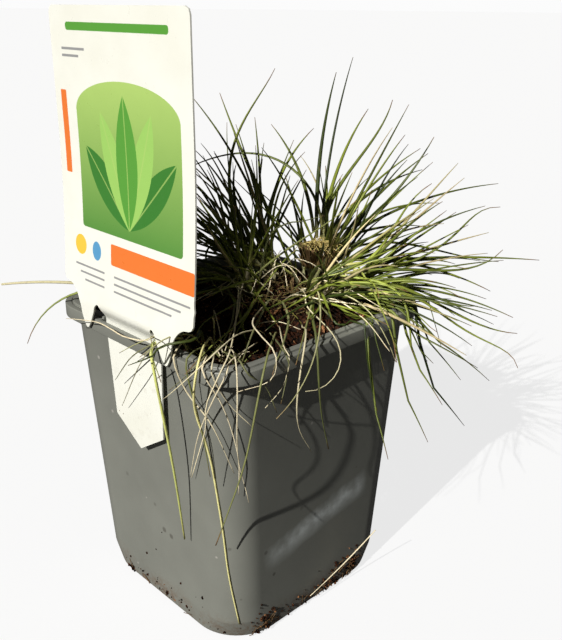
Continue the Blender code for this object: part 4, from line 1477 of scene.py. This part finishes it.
def straw_look(node):
    """A straw's look: what is chosen for it, and chance for the rest. Every number is drawn."""
    drawn = Look(*[leaf_chance.uniform(*reach) for reach in (STRAW_DRYNESS, STRAW_THICK, (0.0, 1.0))])
    wished = CHOSEN_STRAWS.get(node, Look(None))
    return Look(*[chosen(*pair) for pair in zip(wished, drawn)]), wished.thick is not None


def dress_leaf(node, finish, slot, look, stout=False):
    """Puts a fine needle in the place of a leaf's solid."""
    line = leaf_line(node)
    line = line[(line > BOX_LOW).all(axis=1) & (line < BOX_HIGH).all(axis=1)]
    if node == HUGGING_STRAW:
        line = hugged(line)
    thin = look.thick * STOUT_TIP if stout else FINE_TIP
    one = Needle(line, look.thick, thin, look.tone, look.dryness)
    placed(needles_object(node + "_needle", [one], finish), slot, node)


for node in sorted(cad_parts):
    if node.startswith("green_leaf"):
        look = Look(0.0, leaf_chance.uniform(*GREEN_THICK), leaf_chance.uniform(0.0, 1.0))
        dress_leaf(node, needle_finish, "leaf_green", look)
    if node.startswith("dry_leaf") or node == "loose_straw":
        look, stout = straw_look(node)
        finish = yellow_finish if node in YELLOW_STRAWS else straw_finish
        dress_leaf(node, finish, "leaf_straw", look, stout)

# %% [markdown]
# ## The tuft: rules of growth
# The tuft is made of about fifty shoots. Each shoot is a pale sheath that stands on the crown and
# holds a fan of three to six needles. So the code plants shoots, not leaves: it picks a place on
# the crown, leans the shoot outwards, and lets each needle leave the sheath at its own angle and
# bend under its own weight. Before that come two rules: how a needle bends, and where it may not go.

# %% How a needle bends
NEEDLE_POINTS = 15
NEEDLE_BEND = 2.2
TUFT_SEED = 7
tuft_chance = np.random.default_rng(TUFT_SEED)


def direction(heading, rise):
    heading, rise = math.radians(heading), math.radians(rise)
    flat = math.cos(rise)
    return np.array((math.cos(heading) * flat, math.sin(heading) * flat, math.sin(rise)))


def bent(root, way, length, sag, curl, count=NEEDLE_POINTS):
    """A needle's middle line: straight at first, then bending down and a little to one side."""
    share = np.linspace(0, 1, count)[:, None]
    side = np.cross(way, (0, 0, 1.0))
    side /= max(np.linalg.norm(side), 1e-6)
    return (root + way * length * share + side * curl * length * share ** 2
            - np.array((0, 0, 1.0)) * sag * length * share ** NEEDLE_BEND)


def tilted(way, spread):
    """A way turned by a random small angle."""
    turned = way + tuft_chance.normal(0, math.sin(math.radians(spread)), 3)
    return turned / np.linalg.norm(turned)


print("a needle has", NEEDLE_POINTS, "rings")

# %% Keep needles clear of the rim, the label and the box
CLEAR_OF_RIM = 0.6
RIM_TOP = POT_HEIGHT + CLEAR_OF_RIM
CLEAR_OF_WALL = 0.8
CLEAR_OF_SOIL = 0.4
CLEAR_OF_LABEL_X = 34.0
CLEAR_OF_LABEL_Y = -40.5
NO_FLOOR = -1e9
LIFTED_ENOUGH = 0.2
SHORTENING = 0.9
SHORTENINGS = 12


def lowest(x, y):
    """The height that a needle may not go below at this place."""
    if max(abs(x), abs(y)) > RIM_HALF + CLEAR_OF_RIM:
        return NO_FLOOR
    if max(abs(x), abs(y)) > WALL_TOP_HALF - WALL - CLEAR_OF_WALL:
        return RIM_TOP
    return soil_height(x, y) + CLEAR_OF_SOIL


def rested(path):
    """Lifts a path off the soil and the rim, and smooths the bend this makes."""
    floor = np.array([lowest(x, y) for x, y, _ in path])
    lifted = path.copy()
    lifted[1:, 2] = np.maximum(path[1:, 2], floor[1:])
    change = lifted[:, 2] - path[:, 2]
    if change.max() > LIFTED_ENOUGH:
        for _ in range(2):
            lifted[1:-1, 2] = np.maximum(lifted[1:-1, 2], (lifted[:-2, 2] + lifted[2:, 2]) / 2)
    return lifted


def inside_room(path):
    """Whether a path stays inside the box, and behind the label or beside it."""
    if (path < BOX_LOW).any() or (path > BOX_HIGH).any():
        return False
    clear = (np.abs(path[:, 0]) > CLEAR_OF_LABEL_X) | (path[:, 1] > CLEAR_OF_LABEL_Y)
    return bool(clear.all())


def shortened(root, way, length, sag, curl):
    """The longest such needle, of up to the wished length, that stays in its room."""
    for _ in range(SHORTENINGS):
        path = rested(bent(root, way, length, sag, curl))
        if inside_room(path):
            return path
        length *= SHORTENING
    return None


print("needles stay between", BOX_LOW.round(1), "and", BOX_HIGH.round(1))

# %% [markdown]
# ## The tuft: shoots
# The plant has been pressed on its way to the shop. On its right side the shoots lie low and reach
# far over the rim, behind the label they stand up in a loose dark fan, and in front they are few and
# short. Each row below is one such group, with the place where its shoots are rooted.

# %% Groups of shoots
Shoots = namedtuple("Shoots", "name count spot radius headings rises lengths sag curl")
SHOOT_GROUPS = [
    Shoots("fan behind the label", 7, (-9, 17), 9, (130, 260), (25, 80), (32, 56), (0.0, 0.3), 0.24),
    Shoots("tall loose leaves", 4, (-9, 24), 11, (70, 250), (58, 86), (38, 60), (0.0, 0.22), 0.24),
    Shoots("upright middle", 3, (4, 26), 8, (0, 360), (50, 86), (30, 54), (0.0, 0.2), 0.18),
    Shoots("right fan", 6, (12, 28), 8, (10, 100), (22, 62), (32, 58), (0.0, 0.25), 0.16),
    Shoots("low right side", 12, (15, 26), 9, (0, 85), (3, 20), (28, 52), (0.08, 0.40), 0.20),
    Shoots("back", 4, (2, 32), 8, (95, 165), (15, 50), (30, 48), (0.05, 0.25), 0.2),
    Shoots("low near side", 7, (-3, 9), 9, (200, 320), (10, 55), (18, 36), (0.05, 0.4), 0.40),
    Shoots("low near right", 5, (13, 16), 8, (-40, 15), (8, 45), (22, 40), (0.05, 0.35), 0.25),
    Shoots("front shoot", 3, (0, 5), 3, (180, 360), (45, 85), (24, 46), (0.0, 0.2), 0.15),
]
ROOT_RISE = (-0.5, 3.0)
SHEATH_TILT = 5
SHEATH_LENGTH = (7.0, 15.0)
SHEATH_SAG = 0.02
SHEATH_POINTS = 6
SHEATH_THICK = (0.65, 1.0)
SHEATH_THIN = 0.5
SHEATH_DRYNESS = (0.1, 0.9)
FAN = (3, 7)
FAN_START = (0.3, 0.95)
FAN_SPREAD = 21.0
FAN_THICK = (0.44, 0.70)
FAN_THIN = 0.1
DRY_SHARE = 0.09
DRY_DRYNESS = (0.5, 1.0)


def on_disc(spot, radius):
    """A random place on a disc, and how far it lies from the disc's middle."""
    angle, reach = tuft_chance.uniform(0, 2 * math.pi), math.sqrt(tuft_chance.uniform()) * radius
    return spot[0] + math.cos(angle) * reach, spot[1] + math.sin(angle) * reach, reach


def make_sheath(root, way):
    path = rested(bent(root, way, tuft_chance.uniform(*SHEATH_LENGTH), SHEATH_SAG, 0.0, SHEATH_POINTS))
    return Needle(path, tuft_chance.uniform(*SHEATH_THICK), SHEATH_THIN, tuft_chance.uniform(),
                  tuft_chance.uniform(*SHEATH_DRYNESS))


def fan_of(group, root, way, sheath):
    """The needles that leave one sheath. A few are dry, and one that finds no room is left out."""
    needles = []
    for _ in range(tuft_chance.integers(*FAN)):
        start = root + (sheath.path[-1] - root) * tuft_chance.uniform(*FAN_START)
        dryness = tuft_chance.uniform(*DRY_DRYNESS) if tuft_chance.uniform() < DRY_SHARE else 0.0
        path = shortened(start, tilted(way, FAN_SPREAD), tuft_chance.uniform(*group.lengths),
                         tuft_chance.uniform(*group.sag), tuft_chance.normal(0, group.curl))
        if path is not None:
            thick = tuft_chance.uniform(*FAN_THICK)
            needles.append(Needle(path, thick, FAN_THIN, tuft_chance.uniform(), dryness))
    return needles


def grow(group):
    """The sheaths and needles of one group of shoots."""
    sheaths, needles = [], []
    for _ in range(group.count):
        x, y, _ = on_disc(group.spot, group.radius)
        root = np.array((x, y, soil_height(x, y) + tuft_chance.uniform(*ROOT_RISE)))
        way = direction(tuft_chance.uniform(*group.headings), tuft_chance.uniform(*group.rises))
        way = tilted(way, SHEATH_TILT)
        sheaths.append(make_sheath(root, way))
        needles += fan_of(group, root, way, sheaths[-1])
    return sheaths, needles


all_sheaths, all_needles = [], []
for group in SHOOT_GROUPS:
    grown_sheaths, grown_needles = grow(group)
    all_sheaths += grown_sheaths
    all_needles += grown_needles
    print(group.name, len(grown_needles), "needles")
tuft = needles_object("tuft_needles", all_needles, needle_finish)
placed(tuft, "needle_green", "crown")
sheath_piece = needles_object("leaf_sheaths", all_sheaths, straw_finish)
placed(sheath_piece, "leaf_straw")

# %% [markdown]
# ## Leaves inside the tuft
# Between the shoots lie leaves that matter to the eye one by one: pale straws that cross the soil,
# arched leaves in the shade behind the label, and green ones that droop over the rim. They are
# drawn as short routes in millimetres, four to six points each, in three groups by colour.

# %% Routes inside the tuft
INNER_STRAWS = [
    [(-6, 10, 105), (-6, 3, 107), (-3, -10, 106), (-3, -18, 104)],
    [(-8, 12, 104), (-2, 5, 109), (6, -5, 107), (15, -14, 105), (26, -27, 104), (32, -34, 103.2)],
    [(-20, 25, 103), (-23, 27, 113), (-11, 24, 113), (3, 17, 110), (12, 10, 107)],
    [(20, -10, 100), (23, -12, 103), (28, -9, 104), (35, -7, 103)],
    [(12, 18, 103), (19, 18, 109), (31, 20, 108), (46, 20, 105)],
    [(12, 8, 102), (19, 7, 106.5), (30, 9, 107), (38, 16, 106), (43, 22, 104)],
    [(3, -14, 99), (8, -18, 104.5), (20, -26, 103.8), (32, -35, 103)],
    [(4, 3, 104), (6, 1, 110), (9, -1, 111), (11, -5, 108)],
    [(2, 9, 106), (6, 12, 113), (11, 13, 112), (16, 12, 109)],
    [(8, 5, 104), (5, 10, 110), (2, 15, 114), (0, 19, 115)],
    [(13, 20, 106), (10, 15, 112), (8, 9, 113), (7, 3, 110)],
    [(3, 15, 107), (8, 16, 114), (14, 18, 114), (18, 21, 111)],
    [(6, 31, 106), (9, 34, 113), (15, 30, 113), (22, 27, 111), (28, 22, 109)],
    [(20, 16, 102), (30, 14, 106), (46, 10, 104.5), (58, 7, 99)],
]
INNER_GREENS = [
    [(-20, 18, 101), (-28, 15, 112), (-21, 3, 113), (-10, -5, 110), (0, -10, 108), (8, -8, 106)],
    [(-2, 7, 102), (-1, 6, 114), (0, 5, 124), (0, 6, 136)],
    [(-2, 2, 101), (2, 4, 109), (9, 12, 118), (19, 22, 128), (25, 28, 135)],
    [(-1, 9, 104), (2, 11, 121), (6, 15, 126), (10, 19, 127), (15, 24, 129)],
    [(10, 14, 102), (15, 14, 108), (25, 22, 112), (32, 30, 116), (39, 37, 118)],
    [(12, 34, 102), (18, 36, 110), (27, 30, 111), (44, 18, 108), (58, 8, 103), (63, 4, 98)],
    [(9, -3, 99), (10, -8, 105), (11, -16, 105), (13, -26, 104), (17, -33, 102.5)],
    [(-2, 32, 102), (-2, 30, 112), (2, 19, 112), (12, -1, 109), (16, -9, 106)],
    [(10, 6, 100), (14, 0, 105), (22, -11, 105), (31, -23, 104.5), (42, -37, 102.8)],
    [(13, 8, 100), (18, 2, 105), (30, -7, 105), (41, -20, 104.2), (48, -31, 100)],
    [(18, 16, 101), (23, 11, 106), (36, -5, 105.5), (49, -23, 101)],
    [(5, -3, 100), (8, -9, 105), (21, -22, 105), (30, -34, 104.2), (34, -44, 102.8)],
    [(6, 6, 101), (11, -1, 106), (22, -20, 105), (29, -36, 104.5), (33, -49, 101)],
]
INNER_OLIVES = [
    [(-14, 12, 102), (-12, 7, 110), (-3, 2, 110), (2, -9, 108), (1, -19, 107)],
    [(-22, 20, 101), (-19, 17, 113), (-7, 10, 112), (6, 3, 109), (15, 1, 107)],
    [(-20, 6, 101), (-17, 3, 110), (-5, -2, 110), (6, -5, 108), (12, -1, 106)],
    [(-27, 2, 101), (-24, 0, 111), (-16, 3, 111), (1, -4, 109), (12, -9, 106)],
]
ROUTE_STEP = 2.5
ROUTE_THIN = 0.11
ROUTE_TONES = (0.2, 1.0)


def routed(route, thick, dryness, resting):
    """A needle along a given route."""
    length = np.linalg.norm(np.diff(np.array(route, float), axis=0), axis=1).sum()
    path = smooth_path(route, max(LEAST_RINGS, round(length / ROUTE_STEP)))
    tone = tuft_chance.uniform(*ROUTE_TONES)
    return Needle(rested(path) if resting else path, thick, ROUTE_THIN, tone, dryness)


def routed_group(routes, thick, dryness, resting=True):
    """One needle for each route. Thickness and dryness are ranges to draw from."""
    return [routed(route, tuft_chance.uniform(*thick), tuft_chance.uniform(*dryness), resting)
            for route in routes]


inner = routed_group(INNER_STRAWS, thick=(0.17, 0.26), dryness=(0.8, 1.0))
inner += routed_group(INNER_GREENS, thick=(0.3, 0.46), dryness=(0.0, 0.15))
inner += routed_group(INNER_OLIVES, thick=(0.2, 0.3), dryness=(0.35, 0.6))
inner_piece = needles_object("inner_leaves", inner, straw_finish)
placed(inner_piece, "leaf_straw")

# %% [markdown]
# ## Wisps at the near corner
# Two weak shoots have come up at the edge of the pot, one at the near corner and one through the
# right notch of the label. Their leaves and some dead straws hang over the rim and down both faces.
# A leaf that hangs outside is easiest to describe by its run, which is measured round the pot from
# the middle of the near corner, its height, and how far it stands off the wall.

# %% Places round the outside of the pot
BEAD_TOP_Z = 104.0
BEAD_INSET = -2.6
SHOULDER_Z = 101.4
SHOULDER_OFF = 1.1
SHOULDER_SHARE = 0.25


def beside_pot(run, z, off):
    """A place off the pot's outside. Runs below zero lie on the left face, above zero on the right."""
    half, corner = (RIM_HALF, RIM_CORNER) if z > SKIRT_FOOT_Z else (wall_half(z), wall_corner(z))
    arc = corner * math.pi / 4
    heading = math.radians(-45 + 45 * max(-1.0, min(1.0, run / arc)))
    straight = max(0.0, abs(run) - arc)
    x = half - corner + math.cos(heading) * (corner + off) - (straight if run < 0 else 0.0)
    y = -(half - corner) + math.sin(heading) * (corner + off) + (straight if run > 0 else 0.0)
    return x, y, z


def over_rim(start, cross, marks):
    """A route from inside the pot, over the bead and the shoulder of the rim, through the marks."""
    bead = beside_pot(cross, BEAD_TOP_Z, BEAD_INSET)
    shoulder = beside_pot(cross + SHOULDER_SHARE * (marks[0][0] - cross), SHOULDER_Z, SHOULDER_OFF)
    return [start, bead, shoulder] + [beside_pot(*mark) for mark in marks]


print("near corner of the rim at", tuple(round(v, 1) for v in beside_pot(0, 100, 0)))

# %% Routes over the rim
NOTCH_LEAVES = [
    [(17, -40, 102.8), (15.4, -44, 103.6), (14.6, -47, 103.2), (7, -48.6, 97.5), (-6, -46.5, 85)],
    [(18, -40, 102.8), (15.6, -44, 103.0), (14.8, -47, 102.2), (10, -48.5, 95), (-5, -45.3, 76)],
    [(14, -39, 103), (15.1, -44, 104.4), (15.6, -47, 104.6), (19, -49.5, 102), (24, -50.5, 96)],
    [(12, -38, 103), (14.6, -44, 105.0), (14.4, -47, 105.2), (10, -49.5, 102.5), (3, -50, 98)],
    [(17, -40, 103), (15.4, -44, 104.8), (15.8, -47, 106.2), (21, -51, 109), (27, -55, 110)],
]
HANGING_GREENS = [
    over_rim((27, -12, 101), 20, [(17, 95, 3.2), (14, 88, 4.0)]),
    over_rim((20, -30, 100), -14, [(-8, 88, 3.0), (-6, 78, 3.0), (-5, 66, 2.4)]),
    over_rim((25, -30, 100), 4, [(9, 95, 3.0), (12, 86, 4.5)]),
    over_rim((18, -31, 100), -9, [(-13, 96, 2.6), (-19, 90, 4.0)]),
    [(21, -29, 98), (25, -32, 106), (31, -37, 113), (38, -43, 117)],
    [(20, -31, 98), (22, -38, 106), (23, -47, 108), (21, -55, 104)],
]
HANGING_STRAWS = [
    over_rim((12, -30, 101), -20, [(-12, 92, 3.0), (-4, 84, 2.6), (1, 68, 2.2)]),
    over_rim((30, -20, 101), 1, [(-4, 90, 3.6), (-8, 78, 3.0), (-13, 62, 2.2)]),
    over_rim((24, -34, 99), -8, [(-1, 90, 2.8), (2, 74, 2.2), (2, 60, 1.6)]),
    over_rim((26, -33, 99.5), -5, [(0, 92, 3.2), (5, 84, 4.6)]),
    over_rim((27, -8, 102), 21, [(16, 92, 2.4), (9, 88, 2.8)]),
]

# Where a few sprouts stand, the headings they lean to, and their number.
SPROUTS = [
    ((22, -31), (200, 380), 9), ((14, -35), (180, 330), 5), ((29, -27), (200, 400), 9),
]
SPROUT_SCATTER = 2.2
SPROUT_SUNK = 0.3
SPROUT_RISES = (28, 80)
SPROUT_LENGTH = (6, 17)
SPROUT_POINTS = 9
SPROUT_THICK = (0.2, 0.36)
SPROUT_THIN = 0.08
SPROUT_SAG = (0, 0.25)
SPROUT_CURL = 0.2
SPROUT_TONES = (0.1, 1.0)
SPROUT_DRYNESS = (0.05, 0.3, 0.95)


def sprouts():
    """Short blades of several ages that stand at the edge of the soil."""
    made = []
    for (x, y), headings, count in SPROUTS:
        for _ in range(count):
            x_off, y_off = tuft_chance.normal(0, SPROUT_SCATTER, 2)
            root = np.array((x + x_off, y + y_off, soil_height(x + x_off, y + y_off) - SPROUT_SUNK))
            way = direction(tuft_chance.uniform(*headings), tuft_chance.uniform(*SPROUT_RISES))
            path = bent(root, way, tuft_chance.uniform(*SPROUT_LENGTH), tuft_chance.uniform(*SPROUT_SAG),
                        tuft_chance.normal(0, SPROUT_CURL), SPROUT_POINTS)
            made.append(Needle(path, tuft_chance.uniform(*SPROUT_THICK), SPROUT_THIN,
                               tuft_chance.uniform(*SPROUT_TONES), tuft_chance.choice(SPROUT_DRYNESS)))
    return made


wisps = routed_group(NOTCH_LEAVES, thick=(0.2, 0.3), dryness=(0.05, 0.4), resting=False)
wisps += routed_group(HANGING_GREENS, thick=(0.24, 0.36), dryness=(0.0, 0.35), resting=False)
wisps += routed_group(HANGING_STRAWS, thick=(0.22, 0.31), dryness=(0.75, 1.0), resting=False)
wisp_piece = needles_object("corner_wisps", wisps + sprouts(), straw_finish)
placed(wisp_piece, "leaf_straw")

# %% [markdown]
# ## Thatch and stubble
# The middle of an old tuft is a mat of dead leaf bases. Short brown fibres lie across each other on
# the crown. Where shoots were cut back their sheaths stand as small brown brushes, and the largest
# of these carries a cap of short golden shreds.

# %% Thatch and stubble
THATCH = (0.13, 0.075, 0.03, 1)
THATCH_COUNT = 150
THATCH_SPOT = (3.0, 18.0)
THATCH_REACH = 22.0
THATCH_STACK = 4
THATCH_RISES = (-5, 45)
THATCH_LENGTH = (5, 18)
THATCH_SAG = (0.1, 0.5)
THATCH_CURL = 0.3
THATCH_DRYNESS = (0.5, 1.0)
THATCH_POINTS = 8
THATCH_THICK = (0.14, 0.32)
THATCH_THIN = 0.1
COARSE_SIDES = 4
Stubble = namedtuple("Stubble", "count spot half_long half_wide foot top thick")
STUBBLE = [
    Stubble(70, (10.6, 25.6), 4.8, 2.2, 110.0, (116.0, 117.8), (0.3, 0.5)),
    Stubble(7, (9, 15), 2.0, 1.4, 102.0, (105.5, 108.5), (0.4, 0.6)),
    Stubble(7, (0, 4), 2.0, 1.4, 100.5, (104.0, 108.0), (0.4, 0.7)),
]
STUB_POINTS = 6
STUB_FLARE = 0.3
STUB_SCATTER = 1.1
STUB_TAPER = 0.8
STUB_DRYNESS = (0.75, 1.0)


def thatch():
    """Brown fibres that lie across each other, stacked highest in the middle."""
    fibres = []
    for _ in range(THATCH_COUNT):
        x, y, reach = on_disc(THATCH_SPOT, THATCH_REACH)
        stacked = tuft_chance.uniform(0, THATCH_STACK) * (1 - reach / THATCH_REACH)
        root = np.array((x, y, soil_height(x, y) + stacked))
        way = direction(tuft_chance.uniform(0, 360), tuft_chance.uniform(*THATCH_RISES))
        path = rested(bent(root, way, tuft_chance.uniform(*THATCH_LENGTH), tuft_chance.uniform(*THATCH_SAG),
                           tuft_chance.normal(0, THATCH_CURL), THATCH_POINTS))
        fibres.append(Needle(path, tuft_chance.uniform(*THATCH_THICK), THATCH_THIN, tuft_chance.uniform(),
                             tuft_chance.uniform(*THATCH_DRYNESS)))
    return fibres


def stubble(brush):
    """Cut sheaths that stand side by side: their tops are blunt and at different heights."""
    stubs = []
    for _ in range(brush.count):
        along, across, _ = on_disc((0, 0), 1)
        along, across = along * brush.half_long, across * brush.half_wide
        x = brush.spot[0] + (along - across) * math.sqrt(0.5)
        y = brush.spot[1] + (along + across) * math.sqrt(0.5)
        foot = np.array((x, y, brush.foot))
        flare = along * STUB_FLARE
        top = np.array((x + flare, y + flare, tuft_chance.uniform(*brush.top)))
        top += tuft_chance.normal(0, STUB_SCATTER, 3)
        thick = tuft_chance.uniform(*brush.thick)
        path = foot + (top - foot) * np.linspace(0, 1, STUB_POINTS)[:, None]
        stubs.append(Needle(path, thick, thick * STUB_TAPER, tuft_chance.uniform(),
                            tuft_chance.uniform(*STUB_DRYNESS)))
    return stubs


thatch_finish = leaf_finish("old_thatch", THATCH, roughness=0.75)
thatch_piece = needles_object("thatch_fibres", thatch(), thatch_finish, COARSE_SIDES)
placed(thatch_piece, "leaf_straw")
stubs = [stub for brush in STUBBLE for stub in stubble(brush)]
stub_piece = needles_object("cut_stubble", stubs, thatch_finish)
placed(stub_piece, "leaf_straw")

# %% Golden cap on the largest brush
GOLDEN = (0.58, 0.45, 0.16, 1)
WOOL_COUNT = 320
WOOL_SPOT = (10.6, 25.6, 118.0)
WOOL_LONG = 2.5
WOOL_WIDE = 1.0
WOOL_HEIGHT = (-1, 0.7)
WOOL_HEADING = 45
WOOL_HEADING_SPREAD = 50
WOOL_RISES = (-25, 45)
WOOL_LENGTH = (1.5, 4.5)
WOOL_SAG = 0.2
WOOL_POINTS = 5
WOOL_THICK = (0.1, 0.22)
WOOL_THIN = 0.07
WOOL_CURL = 0.3
WOOL_DRYNESS = (0.7, 1.0)
WOOL_TURN = 0.7


def wool():
    """Short dry shreds that lie across the cut stubs."""
    shreds = []
    for _ in range(WOOL_COUNT):
        along, across = tuft_chance.normal(0, WOOL_LONG), tuft_chance.normal(0, WOOL_WIDE)
        x_off, y_off = (along - across) * WOOL_TURN, (along + across) * WOOL_TURN
        root = np.array(WOOL_SPOT) + (x_off, y_off, tuft_chance.uniform(*WOOL_HEIGHT))
        way = direction(tuft_chance.normal(WOOL_HEADING, WOOL_HEADING_SPREAD),
                        tuft_chance.uniform(*WOOL_RISES))
        path = bent(root, way, tuft_chance.uniform(*WOOL_LENGTH), WOOL_SAG,
                    tuft_chance.normal(0, WOOL_CURL), WOOL_POINTS)
        shreds.append(Needle(path, tuft_chance.uniform(*WOOL_THICK), WOOL_THIN, tuft_chance.uniform(),
                             tuft_chance.uniform(*WOOL_DRYNESS)))
    return shreds


golden_finish = leaf_finish("golden_stubble", GOLDEN, roughness=0.7)
wool_piece = needles_object("golden_wool", wool(), golden_finish)
placed(wool_piece, "leaf_straw")

# %% [markdown]
# ## Earth at the foot
# The pot has stood in damp compost. Crumbs and root fibres have dried onto the lowest few millimetres
# of both faces and round the near corner, and single crumbs are stuck higher up.

# %% Crumbs and fibres on the foot
SMEAR_SEED = 44
Smear = namedtuple("Smear", "run run_spread z z_spread count fibres")
SMEARS = [
    Smear(10, 3.0, 3.0, 2.6, 60, 9), Smear(36, 9.0, 2.0, 1.6, 50, 8), Smear(52, 9.0, 4.5, 3.4, 110, 14),
    Smear(-36, 22.0, 2.0, 1.8, 50, 3), Smear(-30, 20.0, 16.0, 9.0, 9, 0),
]
SMEAR_LEAST_Z = 1.1
FIBRE_LEAST_Z = 0.9
FIBRE_HALF = (1.5, 3.5)
FIBRE_MARKS = (-1, -0.3, 0.4, 1)
FIBRE_OFF = 0.35
FIBRE_THICK = (0.12, 0.22)
FIBRE_THIN = 0.1
FIBRE_POINTS = 8
FACE_MARGIN = 5
FOOT_CRUMB_OFF = 0.1
FOOT_CRUMB_LEAST = 0.16
FOOT_CRUMB_RANGE = 0.5
smear_chance = np.random.default_rng(SMEAR_SEED)


def face_end(z):
    """A run a little before the one at which a face ends and the next corner begins."""
    return wall_corner(z) * (math.pi / 4 - 2) + 2 * wall_half(z) - smear_chance.uniform(0, FACE_MARGIN)


def smear_spots(smear, count):
    """Runs and heights on the wall round a smear."""
    spots = []
    for _ in range(count):
        z = abs(smear_chance.normal(smear.z, smear.z_spread)) + SMEAR_LEAST_Z
        end = face_end(z)
        spots.append((np.clip(smear_chance.normal(smear.run, smear.run_spread), -end, end), z))
    return spots


def clinging_fibre(run, z):
    turn = smear_chance.uniform(0, math.pi)
    reach = smear_chance.uniform(*FIBRE_HALF)
    marks = []
    for step in FIBRE_MARKS:
        height = max(FIBRE_LEAST_Z, z + math.sin(turn) * reach * step)
        marks.append(beside_pot(run + math.cos(turn) * reach * step, height, FIBRE_OFF))
    thick = smear_chance.uniform(*FIBRE_THICK)
    return Needle(smooth_path(marks, FIBRE_POINTS), thick, FIBRE_THIN, smear_chance.uniform(), 1.0)


foot_spots, foot_fibres = [], []
for smear in SMEARS:
    foot_spots += [beside_pot(run, z, FOOT_CRUMB_OFF) for run, z in smear_spots(smear, smear.count)]
    foot_fibres += [clinging_fibre(run, z) for run, z in smear_spots(smear, smear.fibres)]
foot_radii = FOOT_CRUMB_LEAST + FOOT_CRUMB_RANGE * smear_chance.uniform(size=len(foot_spots)) ** 2
foot_earth = crumbs("earth_on_foot", foot_spots, foot_radii, smear_chance, peat("dried_earth"))
placed(foot_earth, "peat")
fibre_piece = needles_object("root_fibres_on_foot", foot_fibres, thatch_finish, COARSE_SIDES)
placed(fibre_piece, "leaf_straw")
